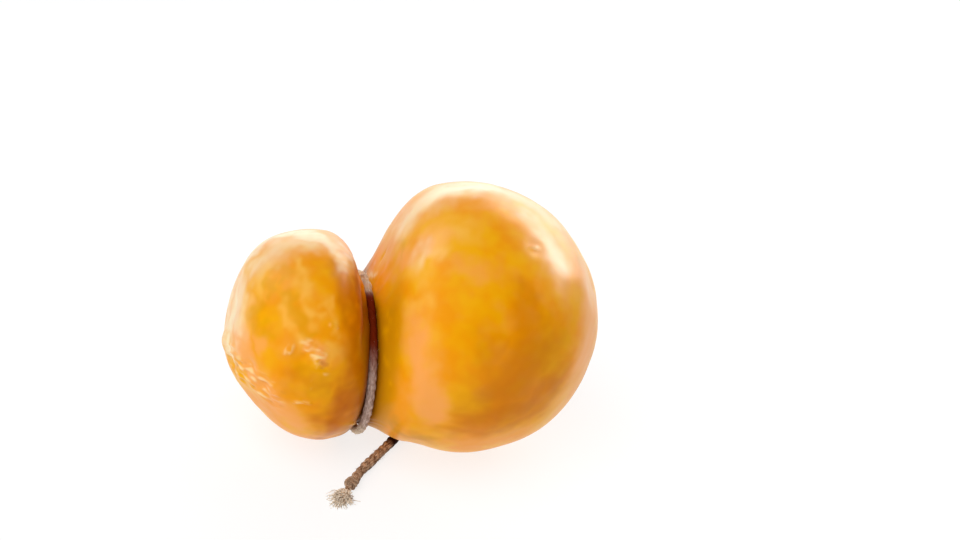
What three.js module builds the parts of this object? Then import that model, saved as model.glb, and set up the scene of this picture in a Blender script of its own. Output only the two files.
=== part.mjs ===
import * as THREE from "three";

// A smoked scamorza: one piece of stretched-curd cheese, drawn in by a turn of twine into a large
// ball and a smaller head. It lies on its side on z = 0, with the ball towards +X and the head
// towards -X. The twine is knotted on the far side, and its free tail comes out under the neck
// and lies on the table towards -Y. Sizes are in millimetres, +Z is up, and every X below is
// counted from the ball's centre.

// Ball: a sphere, resting on a small flat spot, and how far it is from the middle of the cheese
const BALL_RADIUS = 40;
const BALL_Z = 39.4;
const BALL_FROM_MIDDLE = 15.2;

// Shoulder: from the sphere down to the neck, with the middle line sagging towards the table
const SHOULDER_X = -16.5;
const NECK_X = -30;
const NECK_RADIUS = 21.7;
const NECK_SLOPE = 1.05;
const SAG_START_X = -10.5;
const SAG = 13.4;
const SAG_POWER = 1.95;

// Head: two half superellipses back to back, tilted up towards a blunt, drooping tip
const HEAD_X = -42.6;
const HEAD_RADIUS = 30.9;
const HEAD_Z = 30.85;
const HEAD_FRONT = 27.1;
const HEAD_BACK = 15.9;
const FRONT_POWER = 1.98;
const BACK_POWER = 2.08;
const HEAD_TILT = -0.165;
const TIP_DROOP = 5.6;
const DROOP_POWER = 7.5;
const FACE_RADIUS = 22.5;

// Groove: the handles of its curve, as how far along the shoulder's slope the first lies, how far
// ahead of and inside the head's face the second lies, and their height from the loop's centre
const SHOULDER_HANDLE = 0.9;
const FACE_HANDLE = { x: 0.35, r: -1.9 };
const HANDLE_Z = { shoulder: -0.2, face: 0.1 };

// Twine: its diameter, the neck loop's centre, radius and twist about Z, and the knot's place on it
const TWINE_DIAMETER = 3;
const TWINE_SIDES = 8;
const LOOP_X = -30.6;
const LOOP_Z = 25.6;
const LOOP_RADIUS = 23.1;
const LOOP_TWIST = THREE.MathUtils.degToRad(4.3);
const LOOP_REACH = 7;
const KNOT_ANGLE = THREE.MathUtils.degToRad(225);
const KNOT_RADIUS = 3.1;
const KNOT_LENGTH = 7;
const KNOT_OUTSET = 1.5;
const KNOT_RIDGE = 0.22;
const KNOT_TURNS = 1.5;

// Gaps between the twine's own pieces, and between the twine and its bed in the skin
const GAP = 0.3;
const BED_GAP = 0.8;

// Free tail: its height above the table, how it comes down from the knot as x, y, z, and the route
// of its middle line along the table as x, y
const TAIL_Z = 1.55;
const TAIL_DROP = [
  [-27.8, 16.6, 7.1], [-26.8, 15.7, 5.7], [-25.8, 14.6, 4.3], [-24.8, 13.2, 3.1], [-23.6, 11.4, 2.2],
];
const TAIL_ROUTE = [
  [-22.3, 9.3], [-20.9, 7], [-19.5, 4.7], [-18.1, 2.4], [-16.9, 0], [-16.1, -2.6], [-15.9, -5.4],
  [-16.8, -8.3], [-18.5, -11.1], [-20.5, -14], [-22.8, -17.2], [-25.1, -20.5], [-27.4, -23.7],
  [-29.5, -26.8], [-31.2, -29.9], [-32.6, -32.9],
];

// Frayed end of the tail: a small stopper knot and a tuft, as a route and its half width and height
const END_ROUTE = [[-32.75, -33.25], [-34.4, -36.2], [-36, -39], [-38, -41.7]];
const END_SECTIONS = [
  [0, 1.5, 1.5], [0.1, 2.1, 1.9], [0.24, 2.5, 2.1], [0.36, 1.9, 1.7], [0.5, 2.4, 1.7],
  [0.68, 3.1, 1.8], [0.86, 3.4, 1.5], [1, 2.4, 1],
];
const END_LOBES = 5;
const END_LOBE_DEPTH = 0.1;

// Ring counts along the skin, how they crowd towards the neck, and the points on each ring
const RINGS = { ball: 20, shoulder: 10, groove: 10, back: 9, front: 19 };
const CROWDING = 1.4;
const RING_POINTS = 64;
const KNOT_RINGS = 11;
const KNOT_RING_POINTS = 16;
const END_RING_POINTS = 20;
const LOOP_STEPS = 46;
const TAIL_STEPS = 28;
const TAIL_SPOTS = 80;

// Relief of the skin: x, y, z of a spot, its reach and its height, which is negative for a hollow
const RELIEF = [
  // torn lip and notch at the head's tip
  [-69.4, -4.6, 30.6, 3.6, 1.3],
  [-67.8, -9.2, 26.2, 3.2, -1.3],
  [-65, -13.4, 24.4, 2.6, 0.6],
  // craggy patch below the tip
  [-62.6, -20.2, 32.2, 2.6, -0.7],
  [-60.6, -22.2, 30.6, 2.2, 0.5],
  [-58.8, -23.8, 28.4, 2.6, -0.8],
  [-56.2, -26, 27.6, 2.4, 0.5],
  [-61, -19.4, 25.4, 3, 0.6],
  // scar across the head's side
  [-53, -26.7, 42.4, 2.6, 0.6],
  [-49.4, -28.6, 39.4, 3.2, -0.7],
  [-46.1, -29, 41.2, 2.8, 0.5],
  [-44.6, -30.2, 36.8, 2.4, 0.4],
  // broad swells and flats of the head
  [-60.5, 10, 54.5, 8, 0.9],
  [-68.6, -3.6, 40.5, 5, -0.9],
  [-64.5, 14, 40, 9, 0.8],
  [-47, 24, 46, 10, -0.7],
  [-52, 21, 22, 9, 0.7],
  [-60.8, -16, 17.5, 8, -1],
  [-38.5, -20.5, 8.5, 7, -0.7],
  // blemish and broad flats of the ball, and a flat on the far side of the shoulder
  [12.6, -18, 72.8, 2.8, -0.5],
  [35.6, -9, 57.6, 13, -0.7],
  [33.6, -21.1, 34.6, 12, -0.3],
  [39, 4, 46, 9, 0.4],
  [10, 30, 65, 16, 0.5],
  [24, 25, 19, 13, -0.6],
  [-25.8, 20, 49, 6, -0.9],
  // hollow that the free tail has pressed under the shoulder
  [-17.3, -1.5, 1.8, 8.5, -2.6],
];

const CHEESE_SKIN = new THREE.MeshStandardMaterial({ color: 0xe59a1c, roughness: 0.42, metalness: 0 });
const NECK_TWINE = new THREE.MeshStandardMaterial({ color: 0xa08a7e, roughness: 0.9, metalness: 0 });
const TAIL_TWINE = new THREE.MeshStandardMaterial({ color: 0x8a6a50, roughness: 0.9, metalness: 0 });
const FRAYED_TWINE = new THREE.MeshStandardMaterial({ color: 0xb9a791, roughness: 0.95, metalness: 0 });

function clamp01(value) {
  return Math.min(Math.max(value, 0), 1);
}

// Heights of the skin's middle line
function bodyHeight(x) {
  const reach = Math.max((SAG_START_X - x) / (SAG_START_X - NECK_X), 0);
  return BALL_Z - SAG * reach ** SAG_POWER;
}

function headHeight(x) {
  const reach = clamp01((HEAD_X - x) / HEAD_FRONT);
  return HEAD_Z + HEAD_TILT * (x - HEAD_X) - TIP_DROOP * reach ** DROOP_POWER;
}

// Stretches of the profile. Each gives a ring's x, radius r and height z for t from 0 to 1.
function ballStretch(t) {
  const angle = Math.acos(SHOULDER_X / BALL_RADIUS) * t;
  const x = BALL_RADIUS * Math.cos(angle);
  return { x, r: BALL_RADIUS * Math.sin(angle), z: bodyHeight(x) };
}

function shoulderStretch(evenT) {
  const t = 1 - (1 - evenT) ** CROWDING;
  const length = SHOULDER_X - NECK_X;
  const startRadius = Math.sqrt(BALL_RADIUS ** 2 - SHOULDER_X ** 2);
  const startSlope = -SHOULDER_X / startRadius;
  const x = SHOULDER_X - length * t;
  const r = (2 * t ** 3 - 3 * t ** 2 + 1) * startRadius
    - (t ** 3 - 2 * t ** 2 + t) * length * startSlope
    + (3 * t ** 2 - 2 * t ** 3) * NECK_RADIUS
    - (t ** 3 - t ** 2) * length * NECK_SLOPE;
  return { x, r, z: bodyHeight(x) };
}

function headBack(angle) {
  const x = HEAD_X + HEAD_BACK * Math.cos(angle) ** (2 / BACK_POWER);
  return { x, r: HEAD_RADIUS * Math.sin(angle) ** (2 / BACK_POWER), z: headHeight(x) };
}

const FACE_ANGLE = Math.asin((FACE_RADIUS / HEAD_RADIUS) ** (BACK_POWER / 2));

// The groove is a Bezier curve from the shoulder, in under the twine, and out to the head's face.
function grooveStretch(t) {
  const start = { x: NECK_X, r: NECK_RADIUS, z: bodyHeight(NECK_X) };
  const end = headBack(FACE_ANGLE);
  const inner = {
    x: start.x - SHOULDER_HANDLE,
    r: start.r - SHOULDER_HANDLE * NECK_SLOPE,
    z: LOOP_Z + HANDLE_Z.shoulder,
  };
  const outer = { x: end.x + FACE_HANDLE.x, r: end.r + FACE_HANDLE.r, z: LOOP_Z + HANDLE_Z.face };
  const blend = (key) => (1 - t) ** 3 * start[key] + 3 * t * (1 - t) ** 2 * inner[key]
    + 3 * t ** 2 * (1 - t) * outer[key] + t ** 3 * end[key];
  return { x: blend("x"), r: blend("r"), z: blend("z") };
}

function backStretch(t) {
  return headBack(FACE_ANGLE + (Math.PI / 2 - FACE_ANGLE) * t ** CROWDING);
}

function frontStretch(t) {
  const angle = Math.PI / 2 * (1 - t);
  const x = HEAD_X - HEAD_FRONT * Math.cos(angle) ** (2 / FRONT_POWER);
  return { x, r: HEAD_RADIUS * Math.sin(angle) ** (2 / FRONT_POWER), z: headHeight(x) };
}

// All stations of the profile, from the ball's far pole to the head's tip
function profileStations() {
  const stretches = [
    [ballStretch, RINGS.ball], [shoulderStretch, RINGS.shoulder], [grooveStretch, RINGS.groove],
    [backStretch, RINGS.back], [frontStretch, RINGS.front],
  ];
  const stations = [ballStretch(0)];
  for (const [stretch, count] of stretches) {
    for (let step = 1; step <= count; step += 1) {
      stations.push(stretch(step / count));
    }
  }
  return stations;
}

// A point of a ring. Angle 0 is the top, and 90 degrees is the near side, at -Y.
function ringPoint(station, angle) {
  const near = station.r * Math.sin(angle);
  const twist = Math.tan(LOOP_TWIST) * Math.exp(-(((station.x - LOOP_X) / LOOP_REACH) ** 2));
  return new THREE.Vector3(station.x + near * twist, -near, station.z + station.r * Math.cos(angle));
}

// The middle line of the twine round the neck
function loopPoint(angle) {
  const near = LOOP_RADIUS * Math.sin(angle);
  return new THREE.Vector3(
    LOOP_X + near * Math.sin(LOOP_TWIST),
    -near * Math.cos(LOOP_TWIST),
    LOOP_Z + LOOP_RADIUS * Math.cos(angle),
  );
}

function knotCentre() {
  const onLoop = loopPoint(KNOT_ANGLE);
  const outward = onLoop.clone().sub(new THREE.Vector3(LOOP_X, 0, LOOP_Z)).normalize();
  return onLoop.addScaledVector(outward, KNOT_OUTSET);
}

function reliefAt(point) {
  let height = 0;
  for (const [x, y, z, reach, rise] of RELIEF) {
    const far = (point.x - x) ** 2 + (point.y - y) ** 2 + (point.z - z) ** 2;
    height += rise * Math.exp(-far / reach ** 2);
  }
  return height;
}

// Moves a point of the skin out to a clearance from a centre that presses into it
function pressAway(point, centre, clearance) {
  const away = point.clone().sub(centre);
  const distance = away.length();
  if (distance < clearance) {
    point.addScaledVector(away.normalize(), clearance - distance);
  }
}

// A closed solid through rings of equal count, with a single point at each end
function loft(first, rings, last) {
  const count = rings[0].length;
  const positions = [first, ...rings.flat(), last].flatMap((point) => point.toArray());
  const lastIndex = positions.length / 3 - 1;
  const faces = [];
  for (let around = 0; around < count; around += 1) {
    const next = (around + 1) % count;
    faces.push(0, 1 + around, 1 + next);
    for (let ring = 0; ring < rings.length - 1; ring += 1) {
      const here = 1 + ring * count;
      const there = here + count;
      faces.push(here + around, there + around, there + next);
      faces.push(here + around, there + next, here + next);
    }
    const end = 1 + (rings.length - 1) * count;
    faces.push(end + around, lastIndex, end + next);
  }
  const geometry = new THREE.BufferGeometry();
  geometry.setAttribute("position", new THREE.Float32BufferAttribute(positions, 3));
  geometry.setIndex(faces);
  geometry.computeVertexNormals();
  return geometry;
}

function cheeseGeometry() {
  const stations = profileStations();
  const angles = Array.from({ length: RING_POINTS }, (_, i) => 2 * Math.PI * i / RING_POINTS);
  const base = stations.map((station) => angles.map((angle) => ringPoint(station, angle)));
  const knot = knotCentre();
  const tail = tailPath().getSpacedPoints(TAIL_SPOTS);
  const finish = (point, normal) => {
    const placed = point.clone().addScaledVector(normal, reliefAt(point));
    const side = Math.atan2(-placed.y, placed.z - LOOP_Z);
    pressAway(placed, loopPoint(side), TWINE_DIAMETER / 2 + BED_GAP);
    pressAway(placed, knot, KNOT_RADIUS + KNOT_RIDGE + BED_GAP);
    tail.forEach((spot) => pressAway(placed, spot, TWINE_DIAMETER / 2 + BED_GAP));
    placed.z = Math.max(placed.z, 0);
    return placed;
  };
  const rings = [];
  for (let ring = 1; ring < base.length - 1; ring += 1) {
    rings.push(base[ring].map((point, around) => {
      const before = base[ring][(around + RING_POINTS - 1) % RING_POINTS];
      const after = base[ring][(around + 1) % RING_POINTS];
      const along = base[ring + 1][around].clone().sub(base[ring - 1][around]);
      return finish(point, along.cross(after.clone().sub(before)).normalize());
    }));
  }
  const pole = finish(base[0][0], new THREE.Vector3(1, 0, 0));
  const tip = finish(base[base.length - 1][0], new THREE.Vector3(-1, 0, 0));
  return loft(pole, rings, tip);
}

// The section of the twine, a regular outline
function twineSection() {
  const radius = TWINE_DIAMETER / 2;
  const corners = Array.from({ length: TWINE_SIDES }, (_, i) => {
    const angle = 2 * Math.PI * i / TWINE_SIDES;
    return new THREE.Vector2(radius * Math.cos(angle), radius * Math.sin(angle));
  });
  return new THREE.Shape(corners);
}

function twineGeometry(path, steps) {
  return new THREE.ExtrudeGeometry(twineSection(), { extrudePath: path, steps, bevelEnabled: false });
}

// The neck loop runs once round, from one end of the knot to the other.
class NeckLoop extends THREE.Curve {
  getPoint(t) {
    const knotHalf = (KNOT_LENGTH / 2 + GAP) / LOOP_RADIUS;
    return loopPoint(KNOT_ANGLE + knotHalf + (2 * Math.PI - 2 * knotHalf) * t);
  }
}

// The knot: a short barrel along the loop with two strands wound over it
function knotGeometry() {
  const centre = knotCentre();
  const axis = loopPoint(KNOT_ANGLE + 0.01).sub(loopPoint(KNOT_ANGLE - 0.01)).normalize();
  const side = new THREE.Vector3(1, 0, 0).cross(axis).normalize();
  const across = axis.clone().cross(side);
  const place = (along, out, angle) => centre.clone()
    .addScaledVector(axis, along)
    .addScaledVector(side, out * Math.cos(angle))
    .addScaledVector(across, out * Math.sin(angle));
  const rings = [];
  for (let ring = 0; ring < KNOT_RINGS; ring += 1) {
    const t = ring / (KNOT_RINGS - 1);
    const bulge = Math.sqrt(Math.sin(Math.PI * t));
    const radius = TWINE_DIAMETER / 2 + (KNOT_RADIUS - TWINE_DIAMETER / 2) * bulge;
    rings.push(Array.from({ length: KNOT_RING_POINTS }, (_, i) => {
      const angle = -2 * Math.PI * i / KNOT_RING_POINTS;
      const ridge = KNOT_RIDGE * bulge * Math.cos(2 * angle + 2 * Math.PI * KNOT_TURNS * t);
      return place((t - 0.5) * KNOT_LENGTH, radius + ridge, angle);
    }));
  }
  return loft(place(-KNOT_LENGTH / 2, 0, 0), rings, place(KNOT_LENGTH / 2, 0, 0));
}

function tailPath() {
  const drop = TAIL_DROP.map(([x, y, z]) => new THREE.Vector3(x, y, z));
  const route = TAIL_ROUTE.map(([x, y]) => new THREE.Vector3(x, y, TAIL_Z));
  return new THREE.CatmullRomCurve3([...drop, ...route]);
}

function tailEndGeometry() {
  const route = new THREE.CatmullRomCurve3(END_ROUTE.map(([x, y]) => new THREE.Vector3(x, y, 0)));
  const centreAt = (t, height) => route.getPointAt(t).setZ(height + TAIL_Z - TWINE_DIAMETER / 2);
  const rings = END_SECTIONS.map(([t, width, height]) => {
    const forward = route.getTangentAt(t);
    const left = new THREE.Vector3(-forward.y, forward.x, 0);
    const centre = centreAt(t, height);
    return Array.from({ length: END_RING_POINTS }, (_, i) => {
      const angle = -2 * Math.PI * i / END_RING_POINTS;
      const lobe = 1 - END_LOBE_DEPTH * t * (1 + Math.cos(END_LOBES * angle));
      return centre.clone()
        .addScaledVector(left, width * lobe * Math.cos(angle))
        .setZ(centre.z + height * lobe * Math.sin(angle));
    });
  });
  const first = centreAt(0, END_SECTIONS[0][2]);
  const last = centreAt(1, END_SECTIONS[END_SECTIONS.length - 1][2]);
  return loft(first, rings, last);
}

function piece(name, geometry, material) {
  const mesh = new THREE.Mesh(geometry, material);
  mesh.name = name;
  return mesh;
}

const scamorza = new THREE.Group();
scamorza.position.x = BALL_FROM_MIDDLE;
scamorza.add(piece("cheese", cheeseGeometry(), CHEESE_SKIN));
scamorza.add(piece("neck_twine", twineGeometry(new NeckLoop(), LOOP_STEPS), NECK_TWINE));
scamorza.add(piece("neck_knot", knotGeometry(), NECK_TWINE));
scamorza.add(piece("tail_twine", twineGeometry(tailPath(), TAIL_STEPS), TAIL_TWINE));
scamorza.add(piece("tail_end", tailEndGeometry(), FRAYED_TWINE));

export default scamorza;
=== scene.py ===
# %% [markdown]
# # A smoked scamorza
# Scamorza is a stretched-curd cheese. The warm curd is pulled into a bag shape and tied off with
# twine, so a large ball and a small head are left on the two sides of the neck, and smoke turns its
# thin skin amber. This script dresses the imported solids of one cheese, which lies on its side. Its
# sizes are in millimetres, counted from the centre of the ball and up from the table, and one
# function turns them into metres of the shared frame.

import math

import bpy
import numpy as np
from mathutils import Matrix


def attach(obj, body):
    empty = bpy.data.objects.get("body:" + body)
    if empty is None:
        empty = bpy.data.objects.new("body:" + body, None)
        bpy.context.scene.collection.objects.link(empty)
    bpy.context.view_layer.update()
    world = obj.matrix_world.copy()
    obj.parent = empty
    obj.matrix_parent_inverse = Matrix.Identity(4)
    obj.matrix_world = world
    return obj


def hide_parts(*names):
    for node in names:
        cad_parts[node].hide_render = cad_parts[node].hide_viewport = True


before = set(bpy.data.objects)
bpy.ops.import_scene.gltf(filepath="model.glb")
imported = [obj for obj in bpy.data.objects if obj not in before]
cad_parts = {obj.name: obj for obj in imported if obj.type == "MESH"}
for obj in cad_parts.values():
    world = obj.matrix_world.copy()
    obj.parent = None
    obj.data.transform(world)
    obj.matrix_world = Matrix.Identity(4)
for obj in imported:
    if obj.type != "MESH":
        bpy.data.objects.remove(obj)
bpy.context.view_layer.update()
MM = 0.001
BALL_RADIUS = 40
BALL_Z = 39.4
BALL_FROM_MIDDLE = 15.2


def metres(points):
    """Millimetres from the ball's centre line become metres: shift along X, then a thousandth."""
    return (np.asarray(points, dtype=float) + [BALL_FROM_MIDDLE, 0, 0]) * MM


# %% [markdown]
# ## The camera
# The photograph looks down on the cheese from its near left side with a slight roll. A camera could
# be aimed with a constraint, but a matrix built from three directions is exact: back, away from what
# it looks at, then right and up, both turned by the roll. The camera then stands where the ball's
# centre falls on its own pixel of the photograph.

# %% Camera at the photograph's angle
LOOK_DOWN = math.radians(27)
LOOK_TURN = math.radians(-14)
ROLL = math.radians(9.5)
CAMERA_DISTANCE = 398
LENS = 50
SENSOR = 36
PHOTO_WIDTH = 960
PHOTO_HEIGHT = 540
BALL_PIXEL = (464.1, 316.5)

back = np.array([
    math.sin(LOOK_TURN) * math.cos(LOOK_DOWN),
    -math.cos(LOOK_TURN) * math.cos(LOOK_DOWN),
    math.sin(LOOK_DOWN),
])
level_right = np.array([math.cos(LOOK_TURN), math.sin(LOOK_TURN), 0])
level_up = np.cross(back, level_right)
right = math.cos(ROLL) * level_right + math.sin(ROLL) * level_up
up = np.cross(back, right)
mm_per_pixel = CAMERA_DISTANCE / (LENS / SENSOR * PHOTO_WIDTH)
camera_place = (
    np.array([0, 0, BALL_Z])
    - (BALL_PIXEL[0] - PHOTO_WIDTH / 2) * mm_per_pixel * right
    + (BALL_PIXEL[1] - PHOTO_HEIGHT / 2) * mm_per_pixel * up
    + CAMERA_DISTANCE * back
)
camera_matrix = np.eye(4)
camera_matrix[:3, :3] = np.stack([right, up, back], axis=1)
camera_matrix[:3, 3] = metres(camera_place)

camera_data = bpy.data.cameras.new("camera")
camera_data.lens = LENS
camera_data.sensor_width = SENSOR
camera_data.clip_start = 0.01
camera = bpy.data.objects.new("camera", camera_data)
camera.matrix_world = Matrix(camera_matrix.tolist())
bpy.context.scene.collection.objects.link(camera)
bpy.context.scene.camera = camera
print("camera at", np.round(metres(camera_place), 3).tolist(), "m")
print("a pixel covers", round(mm_per_pixel, 3), "mm at the ball's centre")

# %% [markdown]
# ## From arrays to meshes
# Every piece here is a closed surface on a grid: rings of points along a line, the same number of
# points round each ring, and a pole that closes each end. A hundred fibres are a hundred such grids
# in one mesh. Blender could make them one by one from curves, but numpy computes all of them as
# whole arrays, and the same few lines then also give every corner its place on the piece's UV map.

# %% A closed grid and a piece made of it
def closed_grids(points, first, last):
    """Faces of grids of shape (grids, rings, sides, 3), closed by fans to a first and a last pole.

    A quad joins ring r to r + 1 and side s to s + 1, where the last side is followed by side 0.
    Returns the vertices, the faces, and for each face corner its ring and side as counts, for a UV
    map.
    """
    grids, rings, sides = points.shape[:3]
    vertices = np.concatenate([points.reshape(-1, 3), first, last])
    grid, ring, side = (index.ravel() for index in np.indices((grids, rings - 1, sides)))
    after = (side + 1) % sides

    def at(which_ring, which_side):
        return (grid * rings + which_ring) * sides + which_side

    quads = np.stack(
        [at(ring, side), at(ring + 1, side), at(ring + 1, after), at(ring, after)], axis=1)
    quad_uv = np.stack([ring, side, ring + 1, side, ring + 1, side + 1, ring, side + 1], axis=1)
    grid, side = (index.ravel() for index in np.indices((grids, sides)))
    after = (side + 1) % sides
    first_pole = grids * rings * sides + grid
    last_pole = first_pole + grids
    fans = np.concatenate([
        np.stack([first_pole, at(0, side), at(0, after)], axis=1),
        np.stack([last_pole, at(rings - 1, after), at(rings - 1, side)], axis=1),
    ])
    start = np.zeros_like(side)
    end = start + rings - 1
    fan_uv = np.concatenate([
        np.stack([start, side, start, side, start, side + 1], axis=1),
        np.stack([end, side, end, side + 1, end, side], axis=1),
    ])
    corners = np.concatenate([quad_uv.reshape(-1, 2), fan_uv.reshape(-1, 2)])
    return vertices, quads.tolist() + fans.tolist(), corners


def add_piece(name, points, first, last, along=None, masks=None):
    """A smooth mesh object from grids in millimetres.

    Its UV map is the ring's distance in millimetres, from along, and the turn round the ring from 0
    to 1. Each mask is a number for each point, of shape (grids, rings, sides), kept as an attribute.
    A pole takes the mean of the ring next to it.
    """
    vertices, faces, corners = closed_grids(points, first, last)
    mesh = bpy.data.meshes.new(name)
    mesh.from_pydata(metres(vertices).tolist(), [], faces)
    mesh.shade_smooth()
    if along is not None:
        uv = np.stack([along[corners[:, 0]], corners[:, 1] / points.shape[2]], axis=1)
        layer = mesh.uv_layers.new(name="along_and_round")
        layer.data.foreach_set("uv", uv.astype(np.float32).ravel())
    for key, values in (masks or {}).items():
        poles = [values[:, 0].mean(axis=1), values[:, -1].mean(axis=1)]
        values = np.concatenate([values.ravel(), *poles])
        attribute = mesh.attributes.new(key, "FLOAT", "POINT")
        attribute.data.foreach_set("value", values.astype(np.float32))
    piece = bpy.data.objects.new(name, mesh)
    bpy.context.scene.collection.objects.link(piece)
    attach(piece, "root")
    print(name, len(vertices), "vertices,", len(corners) - 2 * len(faces), "triangles")
    return piece


# %% Smooth noise as a formula
def waves(points, size, seed, count=28):
    """Smooth noise: a sum of cosines over the points, each along its own seeded direction.

    Wavelengths lie from 0.7 to 1.6 times size, in millimetres. The sum is scaled to a spread of
    about 1.
    """
    random = np.random.default_rng(seed)
    directions = random.normal(size=(count, 3))
    directions /= np.linalg.norm(directions, axis=1, keepdims=True)
    numbers = 2 * np.pi / (size * random.uniform(0.7, 1.6, count))
    phases = random.uniform(0, 2 * np.pi, count)
    total = np.zeros(points.shape[:-1])
    for direction, number, phase in zip(directions, numbers, phases):
        total += np.cos(number * (points @ direction) + phase)
    return total * math.sqrt(2 / count)


def soft_spots(points, rows):
    """Sum of soft round spots: a row x, y, z, reach, height adds height * exp(-(distance / reach)^2),
    where the distance is counted from the place x, y, z."""
    total = np.zeros(points.shape[:-1])
    for x, y, z, reach, height in rows:
        far = ((points - [x, y, z]) ** 2).sum(axis=-1)
        total += height * np.exp(-far / reach ** 2)
    return total


def smooth_step(values, low, high):
    """0 below low, 1 above high, and 3 t^2 - 2 t^3 between them."""
    t = np.clip((values - low) / (high - low), 0, 1)
    return t * t * (3 - 2 * t)


# %% [markdown]
# ## The twine
# The twine is 3 mm kitchen twine of natural fibre: three plies laid round each other. A plain tube
# would look like wire. Its real outline is the union of three circles, and that outline turns once
# every few millimetres along the twine, so one formula gives the grooves between the plies.

# %% A line through points and a twine along it
TWINE_DIAMETER = 3
TWINE_TURN = 9.5


def evenly(line, spacing):
    """Points at even distances along a line given by many points, by linear interpolation."""
    steps = np.linalg.norm(np.diff(line, axis=0), axis=1)
    travelled = np.concatenate([[0], np.cumsum(steps)])
    wanted = np.linspace(0, travelled[-1], max(int(round(travelled[-1] / spacing)), 2) + 1)
    return np.stack([np.interp(wanted, travelled, line[:, axis]) for axis in range(3)], axis=1)


def smooth_line(knots, spacing, between=24):
    """Catmull-Rom curve: between two knots each coordinate is a cubic, and its slope at a knot is half
    the step from the knot before to the knot after. It is worked out at so many places between two
    knots, and then cut into even steps."""
    knots = np.asarray(knots, dtype=float)
    padded = np.vstack([2 * knots[0] - knots[1], knots, 2 * knots[-1] - knots[-2]])
    a, b, c, d = padded[:-3], padded[1:-2], padded[2:-1], padded[3:]
    t = np.linspace(0, 1, between, endpoint=False)[:, None, None]
    cubic = 0.5 * (
        2 * b
        + (c - a) * t
        + (2 * a - 5 * b + 4 * c - d) * t ** 2
        + (3 * b - a - 3 * c + d) * t ** 3
    )
    line = np.vstack([cubic.transpose(1, 0, 2).reshape(-1, 3), knots[-1]])
    return evenly(line, spacing)


def directions_along(line, upward):
    """For each point of a line its tangent, a side direction square to upward, and their product."""
    tangent = np.gradient(line, axis=0)
    tangent /= np.linalg.norm(tangent, axis=1, keepdims=True)
    side = np.cross(upward, tangent)
    side /= np.linalg.norm(side, axis=1, keepdims=True)
    return tangent, side, np.cross(tangent, side)


def twine_grid(line, radius, upward, plies=3, ply=0.6, turn=TWINE_TURN, sides=36):
    """Laid twine along a line. A ply is a circle of radius ply * R whose centre is (1 - ply) * R out.

    In the direction at angle p from the nearest ply's centre the outline lies at
    (1 - ply) R cos p + sqrt((ply R)^2 - ((1 - ply) R sin p)^2), and the plies turn with the length,
    once in every turn millimetres. Returns the grid and the length travelled at each ring.
    """
    tangent, side, top = directions_along(line, upward)
    steps = np.linalg.norm(np.diff(line, axis=0), axis=1)
    travelled = np.concatenate([[0], np.cumsum(steps)])
    radius = np.broadcast_to(radius, travelled.shape)[:, None]
    angle = 2 * np.pi * np.arange(sides) / sides
    sector = 2 * np.pi / plies
    laid = angle - (2 * np.pi * travelled / turn)[:, None]
    from_ply = (laid + sector / 2) % sector - sector / 2
    offset = (1 - ply) * radius
    past_centre = np.sqrt((ply * radius) ** 2 - (offset * np.sin(from_ply)) ** 2)
    reach = offset * np.cos(from_ply) + past_centre
    across = np.cos(angle)[:, None] * side[:, None] - np.sin(angle)[:, None] * top[:, None]
    return line[:, None] + reach[..., None] * across, travelled


# %% [markdown]
# ## The free tail
# The tail leaves the knot on the far side, comes down to the table, passes under the shoulder, where
# the cheese has moulded itself round it, and comes out towards the viewer. It is the one free cord
# here, so it is made first, along the same route as its solid.

# %% Route of the tail
TAIL_Z = 1.55
TAIL_DROP = [
    [-27.8, 16.6, 7.1], [-26.8, 15.7, 5.7], [-25.8, 14.6, 4.3], [-24.8, 13.2, 3.1], [-23.6, 11.4, 2.2],
]
TAIL_ROUTE = [
    [-22.3, 9.3], [-20.9, 7], [-19.5, 4.7], [-18.1, 2.4], [-16.9, 0], [-16.1, -2.6], [-15.9, -5.4],
    [-16.8, -8.3], [-18.5, -11.1], [-20.5, -14], [-22.8, -17.2], [-25.1, -20.5], [-27.4, -23.7],
    [-29.5, -26.8], [-31.2, -29.9], [-32.6, -32.9],
]
tail_line = smooth_line(TAIL_DROP + [[x, y, TAIL_Z] for x, y in TAIL_ROUTE], 0.3)

# %% Strand of the tail, with painted shadow at its root and painted shade on its lower right side
TABLE_UP = (0, 0, 1)
TABLE_GAP = 0.03
TAIL_PLY = 0.7
TAIL_TURN = 8
TAIL_UNEVENNESS = 0.05
ROOT_SHADOW_FADE = (34.5, 38.5)
SHADED_WAY = (0.75, -0.35, -0.56)
SHADE_SHARE = 0.75
tail_radius = TWINE_DIAMETER / 2 * (1 + TAIL_UNEVENNESS * waves(tail_line, 6, seed=3))
tail_points, tail_along = twine_grid(tail_line, tail_radius, TABLE_UP, ply=TAIL_PLY, turn=TAIL_TURN)
tail_points[..., 2] = np.maximum(tail_points[..., 2], TABLE_GAP)
# painted shadow where the tail comes out from under the cheese, and painted shade on the side away from
# the light
root_shadow = 1 - smooth_step(tail_along, *ROOT_SHADOW_FADE)
from_line = (tail_points - tail_line[:, None]) / (TWINE_DIAMETER / 2)
shaded_side = np.clip(from_line @ np.array(SHADED_WAY), 0, 1) ** 2
tail = add_piece(
    "tail_strand", tail_points[None], tail_line[:1], tail_line[-1:], tail_along,
    masks={"stain": np.maximum(root_shadow[:, None], SHADE_SHARE * shaded_side)[None]})
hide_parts("tail_twine")

# %% [markdown]
# ## The end of the tail
# The tail ends in a small turn of one of its own plies. Past it the strand goes on for a few
# millimetres as a twist of two plies, and then the fibres have come apart into a flat tuft. Hair
# particles would be lost in the export, so each fibre is a thin tapering tube. Its middle line is a
# parabola, which leaves the knot in its own direction and bends as it goes, with a slow curl added,
# because the fibres keep some of the twist that they had in the twine.

# %% Fibres as bent tapering tubes
GOLDEN_ANGLE = math.pi * (3 - math.sqrt(5))


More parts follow.
